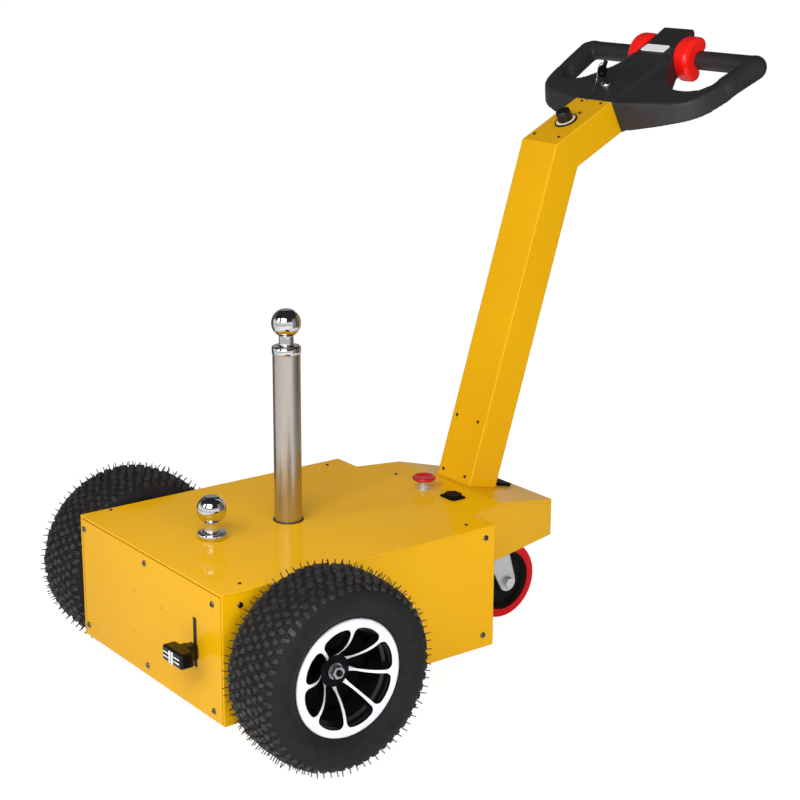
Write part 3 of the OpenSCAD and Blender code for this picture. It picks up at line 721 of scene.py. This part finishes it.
def hub():
    """Hub and the web behind the spokes."""
    foot_z = BACK_Z + 20 * MM
    core = lathe([
        (0, HUB_Z - 1 * MM), (12 * MM, HUB_Z - 1 * MM), (14 * MM, HUB_Z), (HUB_R - 3 * MM, HUB_Z),
        (HUB_R + 1 * MM, HUB_Z - 1 * MM), (HUB_R + 2 * MM, HUB_Z - 14 * MM),
        (HUB_R + 2 * MM, foot_z), (0, foot_z),
    ], 64)
    web = [(HUB_R, -6 * MM), (BARREL_R, -6 * MM), (BARREL_R, -9 * MM), (HUB_R, -9 * MM)]
    return merged([core, lathe(web, 64, closed=True)])


def rim(side):
    """Rim of one side: machined ring and spokes over a black barrel and hub."""
    spokes = [(radius, half, dish_z(radius)) for radius, half in spoke_rows()]
    ring = [(radius, math.pi / SPOKES, height) for radius, height in ring_rows()]
    faces_up, walls = [], []
    for k in range(SPOKES):
        middle = SPOKE_PHASE + 2 * math.pi * k / SPOKES
        faces_up.append(sheet(sector(spokes + ring, middle)))
        walls += spoke_walls(sector(spokes, middle))
    face = wheel_piece(side, "rim_face", merged(faces_up), ALLOY, sharp=50)
    weld = face.modifiers.new("weld", "WELD")
    weld.merge_threshold = WELD_GAP
    wheel_piece(side, "rim_cast", merged(walls + [hub()]), RIM_BLACK)
    wheel_piece(side, "rim_barrel", barrel(), BARREL_BLACK, "rim")


def hex_nut(across, height):
    """Hexagon nut with chamfered corners."""
    corner = across / math.sqrt(3)
    outline = [polar(corner, math.radians(60 * i)) for i in range(6)]
    levels = ((0.9, 0), (1, 0.12 * height), (1, 0.85 * height), (0.9, height))
    return loft([[(x * share, y * share, z) for x, y in outline] for share, z in levels])


SHAFT_R = 9.5 * MM
WASHER_R = 12.5 * MM
WASHER_H = 2 * MM
NUT_ACROSS = 19 * MM
NUT_H = 9 * MM
STUD_R = 5.2 * MM


def axle(side):
    """End of the drive axle: shaft, washer, nut and stud."""
    ends = [side * end.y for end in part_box(WORD[side] + "_axle")]
    inner = min(ends) - side * centre(WORD[side] + "_tyre").y
    shaft_z = HUB_Z - 2 * MM
    nut_z = HUB_Z + WASHER_H
    top_z = nut_z + NUT_H
    shaft = lathe([(0, inner), (SHAFT_R, inner), (SHAFT_R, shaft_z), (0, shaft_z)], 32)
    washer = lathe([(0, HUB_Z), (WASHER_R, HUB_Z), (WASHER_R + 0.5 * MM, HUB_Z + 0.6 * MM),
                    (WASHER_R, nut_z), (0, nut_z)], 40)
    nut = moved(hex_nut(NUT_ACROSS, NUT_H), shift(0, 0, nut_z))
    stud = lathe([(STUD_R, top_z - 1 * MM), (STUD_R, top_z + 2 * MM),
                  (STUD_R - 1 * MM, top_z + 3 * MM), (0, top_z + 3 * MM)], 24)
    wheel_piece(side, "axle_end", merged([shaft, washer, nut]), ZINC, "axle", sharp=30)
    wheel_piece(side, "axle_stud", stud, CASTOR_BLACK, sharp=30)


# Towing: turned balls with a flat on top

FLANGE_R = 23.5 * MM
FLANGE_FOOT = 0.6 * MM
FLANGE_EDGE = 1.5 * MM
NECK_R = 12 * MM
NECK_FILLET = 4 * MM
BALL_FLAT_R = 9.5 * MM


def tow_ball(name, node, base_z, flange_h):
    """Chrome ball on a waisted neck and a flange."""
    low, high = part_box(node)
    at = centre(node)
    radius = (high.x - low.x) / 2
    ball_z = high.z - base_z - math.sqrt(radius ** 2 - BALL_FLAT_R ** 2)
    fillet_r = NECK_R + NECK_FILLET
    neck_z = flange_h + FLANGE_FOOT
    start = math.degrees(math.asin(NECK_R / radius)) - 90
    end = 90 - math.degrees(math.asin(BALL_FLAT_R / radius))
    profile = [(0, 0), (FLANGE_R - FLANGE_FOOT, 0), (FLANGE_R, FLANGE_FOOT),
               (FLANGE_R, flange_h - FLANGE_EDGE), (FLANGE_R - FLANGE_EDGE, flange_h),
               (fillet_r, neck_z)]
    profile += arc(fillet_r, neck_z + NECK_FILLET, NECK_FILLET, 240, 180, 2)
    profile += arc(0, ball_z, radius, start, end, 40)
    profile.append((0, profile[-1][1]))
    shape = moved(lathe(profile, 72), shift(at.x, at.y, base_z))
    piece(name, shape, CHROME, [node], sharp=50)


# Tiller head

GRIP_R = 17 * MM
SIDE_R = 19.5 * MM
GRIP_N = -28.5 * MM
GRIP_A = 195 * MM
BAR_A = 122 * MM
BAR_Y = 196 * MM
LOOP_Y = 207 * MM
CORNER_R = 9 * MM

# Plan of one wing, in mm: (distance behind the column's end, distance from the middle, height)
WING_LOW_FRONT = [(0, 46, -60), (3, 105, -47), (21, 162, -44), (50, 196, -44), (100, 212, -44),
                  (152, 212, -42)]
WING_TOP_FRONT = [(0, 44, -3), (20, 110, -9), (36, 166, -12), (62, 193, -12), (105, 205, -12),
                  (152, 206, -13)]
WING_LOW_BACK = [(152, 186, -42), (96, 178, -44), (79, 150, -44), (80, 108, -47), (106, 76, -48),
                 (134, 56, -47), (162, 44, -44), (195, 38, -44)]
WING_TOP_BACK = [(152, 190, -13), (96, 180, -12), (77, 152, -12), (77, 112, -9), (103, 80, -6),
                 (132, 59, -4), (162, 45, -1), (195, 38, -1)]

# Middle of the head, in mm of the arm's frame: hump from below to above, and side view of the tail
HUMP = [
    [(0, -50, -20), (0, 50, -20), (-92, 74, -20), (-150, 50, -20), (-150, -50, -20),
     (-92, -74, -20)],
    [(0, -42, 0), (0, 42, 0), (-92, 46, -1), (-150, 44, 4), (-150, -44, 4), (-92, -46, -1)],
]
TAIL = [(-60, -42), (-60, -4), (-92, -2), (-146, 5), (-188, 6), (-235, 10), (-231, -6),
        (-212, -30), (-190, -43)]
TAIL_HALF = 38 * MM
COLLAR = ((-14, -46, -62), (0, 46, -1))


def capsule_path(points, radius, sides=20):
    """Round bar along a path, with domed ends."""
    ball = lathe(arc(0, 0, radius, -90, 90, 9), sides)
    ends = [moved(ball, shift(*end)) for end in (points[0], points[-1])]
    return merged([tube(points, radius, sides)] + ends)


def half_loop(side):
    """Side bar, rounded corner and rear bar of one hand loop, in the arm's frame."""
    bend_a = CORNER_R - GRIP_A
    bar = [(-BAR_A, side * BAR_Y, GRIP_N), (bend_a, side * LOOP_Y, GRIP_N)]
    corner = [(bend_a - CORNER_R * math.sin(angle),
               side * (LOOP_Y - CORNER_R + CORNER_R * math.cos(angle)), GRIP_N)
              for angle in np.linspace(0, math.pi / 2, 7)]
    rear = [corner[-1], (-GRIP_A, 0, GRIP_N)]
    return merged([capsule_path(bar, SIDE_R), capsule_path(corner, (SIDE_R + GRIP_R) / 2),
                   capsule_path(rear, GRIP_R)])


def wing(side):
    """One wing of the head, whose front face leans back."""
    outlines = []
    for front, back in ((WING_LOW_FRONT, WING_LOW_BACK), (WING_TOP_FRONT, WING_TOP_BACK)):
        line = spline(front, 6) + spline(back, 6)
        line = [(front[0][0], 0, front[0][2])] + line + [(back[-1][0], 0, back[-1][2])]
        outlines.append(in_mm([(-a, side * y, n) for a, y, n in line]))
    return loft(outlines)


def tiller_shape():
    """Parts of the head, which overlap, in the arm's frame."""
    tail = moved(prism(in_mm(TAIL), -TAIL_HALF, TAIL_HALF), turn(90, "X"))
    hump = loft([in_mm(outline) for outline in HUMP])
    collar = block(*in_mm(COLLAR))
    return merged([half_loop(1), half_loop(-1), wing(1), wing(-1), hump, collar, tail])


def tiller_head():
    """Moulded head: its parts are fused and their meeting edges blended."""
    obj = piece("tiller_shell", moved(tiller_shape(), ARM), PLASTIC,
                ["tiller_head"], sharp=180)
    fuse = obj.modifiers.new("fuse", "REMESH")
    fuse.mode = "VOXEL"
    fuse.voxel_size = 2.4 * MM
    fuse.use_smooth_shade = True
    ease = obj.modifiers.new("ease", "SMOOTH")
    ease.factor = 0.5
    ease.iterations = 8


def bean(inner, outer, start, end, steps=18):
    """Outline of a thick arc with round ends: angles in degrees about the bar's axis."""
    mid, half = (inner + outer) / 2, (outer - inner) / 2
    tip = polar(mid, math.radians(end))
    tail = polar(mid, math.radians(start))
    return (arc(0, 0, outer, start, end, steps) + arc(*tip, half, end, end + 180, 8)[1:-1]
            + arc(0, 0, inner, end, start, steps)
            + arc(*tail, half, start + 180, start + 360, 8)[1:-1])


PADDLE_IN = 11 * MM
PADDLE_OUT = 40.5 * MM
PADDLE_ANGLES = (-34, 118)
PADDLE_SWELL = 6 * MM


def paddle(side):
    """Red kidney-shaped throttle that hugs the grip bar's front."""
    node = WORD[side] + "_throttle"
    inner, outer = sorted(abs(end.y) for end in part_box(node))
    near, far = sorted((-side * inner, -side * (outer + PADDLE_SWELL)))
    bar = ARM @ shift(-GRIP_A, 0, GRIP_N) @ turn(90, "X")
    shape = moved(prism(bean(PADDLE_IN, PADDLE_OUT, *PADDLE_ANGLES), near, far), bar)
    obj = piece(WORD[side] + "_paddle", shape, RED, [node], sharp=50)
    bevelled(obj, 9 * MM, 6, 50)


# Controls on the arm: profiles are (radius, height) in mm

BEZEL = [(0, 0), (20.5, 0), (20.5, 2), (19.6, 3), (18.4, 3), (17.6, 1.8), (0, 1.8)]
KNOB_RING = [(13, 1.5), (17.5, 1.5), (17.5, 2.6), (16.6, 3.2), (13, 3.2)]
KNOB_SIDE = [(13.6, 2.5), (13.4, 9), (13, 16), (12.6, 20), (11.6, 21.4), (9, 21.9)]
KNOB_FLUTES = 18
FLUTE_STEPS = 4
FLUTE_DEPTH = 0.5
FLUTE_TOP = 20
LOCK_BARREL = [(0, -2), (10, -2), (10, 3), (8.6, 5), (6.5, 6), (6.5, 7), (0, 7)]
LOCK_H = 6
KEY_RING_R = 9 * MM
KEY_HALF = 1.2


def on_arm(x, y, z=0.0):
    """Frame at a place on the arm's top face, in mm."""
    return ARM @ shift(x * MM, y * MM, z * MM)


def arm_place(node):
    """Place (x, y) of a node on the arm's top face, in mm."""
    flat = ARM.inverted() @ centre(node)
    return flat.x / MM, flat.y / MM


def fluted():
    """Knob with flutes round its side and a smooth top."""
    steps = KNOB_FLUTES * FLUTE_STEPS
    points = []
    for radius, height in KNOB_SIDE:
        depth = FLUTE_DEPTH if height < FLUTE_TOP else 0
        for i in range(steps):
            dent = depth * (0.5 + 0.5 * math.cos(2 * math.pi * i / FLUTE_STEPS))
            points.append((*polar(radius - dent, 2 * math.pi * i / steps), height))
    last, top = len(points) - steps, len(points)
    points.append((0, 0, KNOB_SIDE[-1][1]))
    faces = rings(len(KNOB_SIDE), steps)
    faces += [(last + i, last + (i + 1) % steps, top) for i in range(steps)]
    return in_mm(points), faces


def speed_knob():
    """Fluted knob on a steel ring in a black bezel."""
    place = on_arm(arm_place("knob_bezel")[0], 0)
    ring = lathe(in_mm(KNOB_RING), 48, closed=True)
    piece("knob_seat", moved(lathe(in_mm(BEZEL), 48), place), GLOSS_BLACK,
          ["knob_bezel"])
    piece("knob_ring", moved(ring, place), RING_STEEL)
    piece("knob_fluted", moved(fluted(), place), GLOSS_BLACK, ["speed_knob"])


def key_shape():
    """Flat key that stands on its blade: a plain blade and a round bow with a hole."""
    blade = [(-4, 0), (4, 0), (4, 14), (-4, 14)]
    bow = arc(0, 20, 11, 0, 360, 28)[:-1]
    hole = arc(0, 25.5, 3.5, 0, 360, 28)[:-1]
    rows = ((bow, -KEY_HALF), (hole, -KEY_HALF), (hole, KEY_HALF), (bow, KEY_HALF))
    points = [(x, y, z) for ring, z in rows for x, y in ring]
    eye = (points, rings(len(rows), len(bow), closed=True))
    both = merged([eye, prism(blade, -KEY_HALF, KEY_HALF)])
    return moved(both, turn(90, "X") @ Matrix.Scale(MM, 4))


def key_set():
    """Lock barrel with its key, a spare key on a ring and a wire to the column."""
    x, y = arm_place("key_lock")
    lock = moved(lathe(in_mm(LOCK_BARREL), 40), on_arm(x, y))
    piece("lock_barrel", lock, CHROME, ["key_lock"], sharp=35)
    key = moved(key_shape(), on_arm(x, y, LOCK_H))
    piece("key_in_lock", key, CHROME, ["key"], sharp=35)
    hang = on_arm(x + 6, y + 4, LOCK_H + 20) @ turn(128, "Y") @ shift(0, 0, -24 * MM)
    piece("spare_key", moved(key_shape(), hang), SCREW, sharp=35)
    loop = [(KEY_RING_R * math.cos(a), 1 * MM + 2 * MM * math.sin(a),
             33 * MM + KEY_RING_R * math.sin(a)) for a in np.linspace(0, 2 * math.pi, 33)[:-1]]
    ring = moved(tube(loop, 0.8 * MM, 8, ring=True), on_arm(x, y))
    piece("key_ring", ring, ZINC, sharp=60)
    wire = [(x + 10, y, 32), (x + 20, y, 17), (x + 34, y + 1, 8), (x + 46, y + 2, 3),
            (6.4, -12.8, 0)]
    strand = moved(tube(in_mm(spline(wire, 6)), 0.6 * MM, 6), ARM)
    piece("key_wire", strand, ZINC, sharp=60)


# Small fittings on the deck and the front panel: profiles are (radius, height) in mm

STOP_NECK = [(0, 0), (12, 0), (12, 1.5), (9.4, 2.5), (9.4, 8), (8.6, 9), (8.6, 17), (0, 17)]
STOP_CAP = [(0, 16), (15.5, 16), (19, 17.4), (20.2, 19.2), (20.2, 20.8), (19.2, 22.8),
            (17.4, 23.7), (15.4, 24), (13.6, 23.2), (12, 21.4), (0, 20.6)]
COVER_HALF_X = 15 * MM
COVER_HALF_Y = 17 * MM
LEVER_BAR = 26 * MM
STEM_HALF = 12 * MM
BOOT_HALF = 10 * MM
RIB_Y = 3.4 * MM
SLOT_TOP = 60 * MM
SLOT_FOOT = 140 * MM
SLOT_HALF = 5.4 * MM


def on_deck(node):
    """Frame on the deck under a node's middle."""
    at = centre(node)
    return shift(at.x, at.y, DECK_Z)


def stop_button():
    """Red mushroom head on a turned steel neck."""
    place = on_deck("stop_button")
    neck = moved(lathe(in_mm(STOP_NECK), 40), place)
    piece("stop_neck", neck, FORK_ZINC, ["stop_collar"], sharp=30)
    cap = moved(lathe(in_mm(STOP_CAP), 56), place)
    piece("stop_mushroom", cap, STOP_RED, ["stop_button"])


def charge_socket():
    """Socket with a six-sided cap on a rounded flange."""
    size = extent("charge_socket")
    flange = prism(rounded(size.x, size.y, 5 * MM), 0, 2.6 * MM)
    angles = [math.radians(60 * i + 30) for i in range(6)]
    outline = [(COVER_HALF_X * math.cos(a), COVER_HALF_Y * math.sin(a)) for a in angles]
    both = merged([flange, prism(outline, 2 * MM, 7 * MM)])
    obj = piece("charge_cover", moved(both, on_deck("charge_socket")), MATTE_BLACK,
                ["charge_socket"])
    bevelled(obj, 1.4 * MM, 3)


def grip_ribs():
    """Two upright ribs and two pairs of level ones on the grip's face."""
    low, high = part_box("lever_grip")
    at = (low + high) / 2
    back = high.x - 4 * MM
    ribs = []
    for offset in (-RIB_Y, RIB_Y):
        y, z = at.y + offset, at.z + offset
        ribs.append(block((back, y - 1.1 * MM, low.z + 3 * MM), (high.x, y + 1.1 * MM, high.z - 3 * MM)))
        for y0, y1 in ((low.y + 5 * MM, at.y - 7 * MM), (at.y + 7 * MM, high.y - 5 * MM)):
            ribs.append(block((back, y0, z - 0.7 * MM), (high.x - 1 * MM, y1, z + 0.7 * MM)))
    return merged(ribs)


def lever_grip():
    """Moulded T-handle with a boot at the slot and raised ribs on its bar."""
    low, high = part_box("lever_grip")
    y = centre("release_lever").y
    bar_x = high.x - LEVER_BAR
    bar = block((bar_x, low.y, low.z), (high.x - 2 * MM, high.y, high.z))
    stem = block((low.x, y - STEM_HALF, low.z + 1 * MM),
                 (bar_x + 2 * MM, y + STEM_HALF, high.z - 3 * MM))
    handle = piece("lever_handle", merged([bar, stem]), LEVER_BLACK, ["lever_grip"])
    bevelled(handle, 4.5 * MM)
    sleeve = block((FRONT_X, y - BOOT_HALF, low.z - 3 * MM),
                   (low.x + 8 * MM, y + BOOT_HALF, high.z - 4 * MM))
    boot = piece("lever_boot", sleeve, LEVER_BLACK)
    bevelled(boot, 3 * MM)
    ribs = piece("lever_ribs", grip_ribs(), WHITE)
    bevelled(ribs, 0.5 * MM, 2)


# Screws in mm: front panel (y, z below the deck), side panels (x behind the front, z below the
# deck), deck (x behind the front, y), arm (x from its end, y), column (up from its foot, y)
FRONT_SCREWS = [(-208, 22), (-9, 20), (192, 22), (-205, 189), (-8, 191), (191, 193)]
FRONT_PLUGS = [(-46, 77), (38, 79), (-45, 146)]
SIDE_SCREWS = [(30.5, 21), (497, 18.4), (494.4, 186.6), (30.5, 188)]
DECK_SCREWS = [(51, -211), (47, 193), (478, -200), (546, -86), (478, 193)]
ARM_SCREWS = [(119.5, -33), (118.2, 28), (43.2, 7), (8, -22), (8, 25.8)]
COLUMN_SCREWS = [(110.5, -32), (110.5, 25), (13, -32), (13, 27)]
PLUG = [(0, 0.5), (1.6, 0.4), (2.6, -0.2)]
PANEL_SCREW_R = 5 * MM
SMALL_SCREW_R = 3 * MM

# Screw head in shares of its radius: (radius, height) of its rings, then of its socket's
SCREW_HEAD = [(1, -0.3), (1, 0.12), (0.86, 0.4), (0.62, 0.52)]
SCREW_SOCKET = [(0.46, 0.52), (0.46, 0.1)]
# Disc at the floor of the socket, coloured dark as painted shade
SOCKET_FLOOR = [(0, 0.16), (0.42, 0.16)]
SCREW_SIDES = 12


def button_screw():
    """Button-head screw of radius 1 with a hexagon socket."""
    angles = [2 * math.pi * i / SCREW_SIDES for i in range(SCREW_SIDES)]
    flats = [1 if i % 2 == 0 else math.cos(math.pi / 6) for i in range(SCREW_SIDES)]
    rows = [[(*polar(r, a), z) for a in angles] for r, z in SCREW_HEAD]
    rows += [[(*polar(r * flat, a), z) for flat, a in zip(flats, angles)] for r, z in SCREW_SOCKET]
    return loft(rows, base=False)


def screw_row(name, places, radius, material):
    """Screws at a list of places, with dark discs in their sockets as painted shade."""
    places = [place @ Matrix.Scale(radius, 4) for place in places]
    heads = merged([moved(button_screw(), place) for place in places])
    piece(name, heads, material)
    # painted shade: a dark disc at each socket's floor
    socket_shade = merged([moved(lathe(SOCKET_FLOOR, 12), place) for place in places])
    piece(name + "_socket_shade", socket_shade, PAINTED_SHADE)


def on_front(y, z):
    """Frame on the front panel, in mm from its middle and below the deck."""
    return shift(FRONT_X, y * MM, DECK_Z - z * MM) @ turn(90, "Y")


def screws():
    """Screws of the panels, the deck and the column."""
    places = [on_front(y, z) for y, z in FRONT_SCREWS]
    for side in (1, -1):
        places += [shift(FRONT_X - x * MM, side * BOX_HALF, DECK_Z - z * MM) @ turn(-side * 90, "X")
                   for x, z in SIDE_SCREWS]
    screw_row("panel_screws", places, PANEL_SCREW_R, SCREW)
    small = [shift(FRONT_X - x * MM, y * MM, DECK_Z) for x, y in DECK_SCREWS]
    small += [on_arm(x, y) for x, y in ARM_SCREWS]
    small += [COLUMN @ shift(-up * MM, y * MM, 0) for up, y in COLUMN_SCREWS]
    screw_row("small_screws", small, SMALL_SCREW_R, DARK_SCREW)
    plugs = [moved(lathe(in_mm(PLUG), 16), on_front(y, z)) for y, z in FRONT_PLUGS]
    piece("panel_plugs", merged(plugs), DARK_YELLOW, sharp=60)


def slot_painted_shadow():
    """Dark strip behind the lever's slot: painted shadow for the shade inside the slot."""
    low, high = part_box("front_panel")
    y = centre("release_lever").y
    strip = block((low.x + 0.5 * MM, y - SLOT_HALF, DECK_Z - SLOT_FOOT),
                  (high.x - 0.6 * MM, y + SLOT_HALF, DECK_Z - SLOT_TOP))
    piece("slot_painted_shadow", strip, PAINTED_SHADE)


# Castor

TREAD_EDGE = 4 * MM
TREAD_LIP = 15.5 * MM
CASTOR_BORE = 6.3 * MM


def castor():
    """Castor wheel: dished black core and a red tread with rounded edges."""
    size = extent("castor_tread")
    radius, half = size.z / 2, size.y / 2
    place = Matrix.Translation(centre("castor_tread")) @ turn(90, "X")
    core_r = extent("castor_core").z / 2
    lip_r = radius - TREAD_LIP
    step = half - 1 * MM
    edge_r, edge_z = radius - TREAD_EDGE, half - TREAD_EDGE
    profile = [(core_r, -step), (lip_r, -step), (lip_r, -half)]
    profile += arc(edge_r, -edge_z, TREAD_EDGE, -90, 0, 5) + arc(edge_r, edge_z, TREAD_EDGE, 0, 90, 5)
    profile += [(lip_r, half), (lip_r, step), (core_r, step)]
    piece("castor_tyre", moved(lathe(profile, 96, closed=True), place), TREAD,
          ["castor_tread"], body="castor_wheel")
    side = [(CASTOR_BORE, half), (17 * MM, half), (19 * MM, step), (20 * MM, half - 8 * MM),
            (core_r - 14 * MM, half - 9 * MM), (core_r - 10 * MM, half - 4 * MM),
            (core_r - 7 * MM, half - 1.5 * MM), (core_r - 0.2 * MM, half - 1.5 * MM)]
    core = side + [(r, -z) for r, z in reversed(side)]
    piece("castor_hub", moved(lathe(core, 96, closed=True), place), CASTOR_BLACK,
          ["castor_core"], body="castor_wheel")


# Stage: camera, lights, floor

CAMERA_AT = (FRONT_X + 1.2443, 2.2823, DECK_Z + 0.9693)
CAMERA_AZIMUTH = 52.79
CAMERA_ELEVATION = 15.69
CAMERA_ROLL = 0.332
CAMERA_LENS = 79.82

# Soft lights: name, place, aim, size, power, whether polished surfaces mirror it
LIGHTS = [
    ("near_key", (1.5, 0.9, 1.5), (0.2, 0, 0.3), (1.2, 0.9), 24.5, True),
    ("side_window", (2.2, -0.3, 1.5), (0.3, 0, 0.4), (0.5, 0.8), 7, True),
    ("left_key", (0.9, 2.7, 1.0), (0.2, 0, 0.2), (1.8, 1.2), 33, False),
]
STUDIO_LIGHT = 0.4
BACKDROP_GLOW = 1.0
FLOOR_R = 60
FLOOR_GREY = (0.86, 0.86, 0.86, 1)
FLOOR_GLOW = 1.3
FLOOR_SEEN = 0.7
FLOOR_MIRRORED = 0.3
CEILING_Z = 3.6
CEILING_R = 12.5
CEILING_GLOW = (0.03, 0.45)
CEILING_DARK = 0.55 * CEILING_R
FLAG_AWAY = 1.0
FLAG_H = 1.3
LOW_FLAG_H = 0.42

# Cards round the tractor that only polished surfaces mirror: azimuth, half angle, brightness, height
FLAGS = [
    (110, 14, 0.3, FLAG_H), (143, 19, 0.12, FLAG_H), (190, 28, 0.1, FLAG_H), (-67, 20, 0.1, FLAG_H),
    (-107, 20, 0.3, FLAG_H), (221, 16, 0.6, LOW_FLAG_H),
]


def camera():
    """Camera at the photograph's viewing angle."""
    data = bpy.data.cameras.new("camera")
    data.lens = CAMERA_LENS
    data.sensor_width = 36
    data.clip_end = 200
    obj = new_object("camera", data)
    look = turn(CAMERA_AZIMUTH + 90, "Z") @ turn(90 - CAMERA_ELEVATION, "X") @ turn(CAMERA_ROLL, "Z")
    obj.matrix_world = shift(*CAMERA_AT) @ look
    bpy.context.scene.camera = obj


def softbox(name, at, aim, size, power, glossy):
    """Rectangular area light."""
    data = bpy.data.lights.new(name, "AREA")
    data.shape = "RECTANGLE"
    data.size, data.size_y = size
    data.energy = power
    obj = new_object(name, data)
    obj.location = at
    obj.rotation_euler = (Vector(aim) - Vector(at)).to_track_quat("-Z", "Y").to_euler()
    obj.visible_glossy = glossy
    obj.visible_camera = False


def reckon(tree, operation, first, second):
    """Output of a math node whose inputs are sockets or numbers."""
    return add_node(tree, "Math", {0: first, 1: second}, operation=operation).outputs[0]


def backdrop_rays(tree, seen=1, mirrored=1):
    """Share of the background's glow for rays from the camera and from mirroring surfaces."""
    path = add_node(tree, "LightPath", {}).outputs
    mirror = reckon(tree, "MAXIMUM", path["Is Glossy Ray"], path["Is Transmission Ray"])
    direct = reckon(tree, "MULTIPLY", path["Is Camera Ray"], seen)
    return reckon(tree, "MAXIMUM", direct, reckon(tree, "MULTIPLY", mirror, mirrored))


def world():
    """White background, and softer light on the object."""
    sky = bpy.data.worlds.new("studio")
    tree = emptied(sky)
    light, white = [add_node(tree, "Background", {"Color": (1, 1, 1, 1), "Strength": strength})
                    for strength in (STUDIO_LIGHT, BACKDROP_GLOW)]
    mix = add_node(tree, "MixShader", {"Fac": backdrop_rays(tree), 1: light.outputs[0],
                                       2: white.outputs[0]})
    add_node(tree, "OutputWorld", {"Surface": mix.outputs[0]})
    bpy.context.scene.world = sky


def card(name, shape, material):
    """Surface that belongs to the stage."""
    obj = new_object(name, new_mesh(name, shape, material))
    return obj


def disc(radius, height):
    """Large level disc."""
    return lathe([(0, height), (radius / 3, height), (radius, height)], 96)


def floor():
    """Plain pale floor that keeps the tractor's shadow."""
    mat, tree, mix = new_material("pale_floor", "MixShader")
    matte = add_node(tree, "BsdfDiffuse", {"Color": FLOOR_GREY})
    glow = add_node(tree, "Emission", {"Strength": FLOOR_GLOW})
    feed(tree, mix, {"Fac": backdrop_rays(tree, FLOOR_SEEN, FLOOR_MIRRORED), 1: matte.outputs[0],
                     2: glow.outputs[0]})
    card("floor", disc(FLOOR_R, 0), mat)


def mirrored_only(obj):
    """Hides a card of the stage from all but mirror rays."""
    for rays in ("camera", "diffuse", "shadow", "transmission"):
        setattr(obj, "visible_" + rays, False)


def ceiling():
    """Dark ceiling that only polished surfaces mirror."""
    mat, tree, glow = new_material("dark_ceiling", "Emission")
    reach = add_node(tree, "VectorMath", {0: object_coords(tree)}, operation="LENGTH")
    level = spread(tree, reach.outputs["Value"], *CEILING_GLOW, CEILING_DARK, CEILING_R)
    feed(tree, glow, {"Strength": level})
    mirrored_only(card("ceiling", disc(CEILING_R, CEILING_Z), mat))


def flag(azimuth, half_angle, brightness, height):
    """Upright grey card at a distance from the tractor."""
    name = "flag_%d" % (azimuth % 360)
    mat, tree, glow = new_material(name, "Emission")
    feed(tree, glow, {"Strength": brightness})
    half = FLAG_AWAY * math.tan(math.radians(half_angle))
    edges = ((-half, 0), (half, 0), (half, height), (-half, height))
    shape = [(FLAG_AWAY, y, z) for y, z in edges], [(0, 1, 2, 3)]
    mirrored_only(card(name, moved(shape, turn(azimuth, "Z")), mat))


dress_nodes()
for wheel_side in (1, -1):
    tyre(wheel_side)
    rim(wheel_side)
    axle(wheel_side)
tow_ball("low_ball", "tow_ball_low", DECK_Z, 10 * MM)
tow_ball("high_ball", "tow_ball_high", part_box("tow_post")[1].z, 12 * MM)
tiller_head()
for throttle_side in (1, -1):
    paddle(throttle_side)
speed_knob()
key_set()
stop_button()
charge_socket()
lever_grip()
screws()
slot_painted_shadow()
castor()
camera()
world()
floor()
ceiling()
for flag_row in FLAGS:
    flag(*flag_row)
for light_row in LIGHTS:
    softbox(*light_row)
bpy.context.scene.view_settings.view_transform = "Standard"
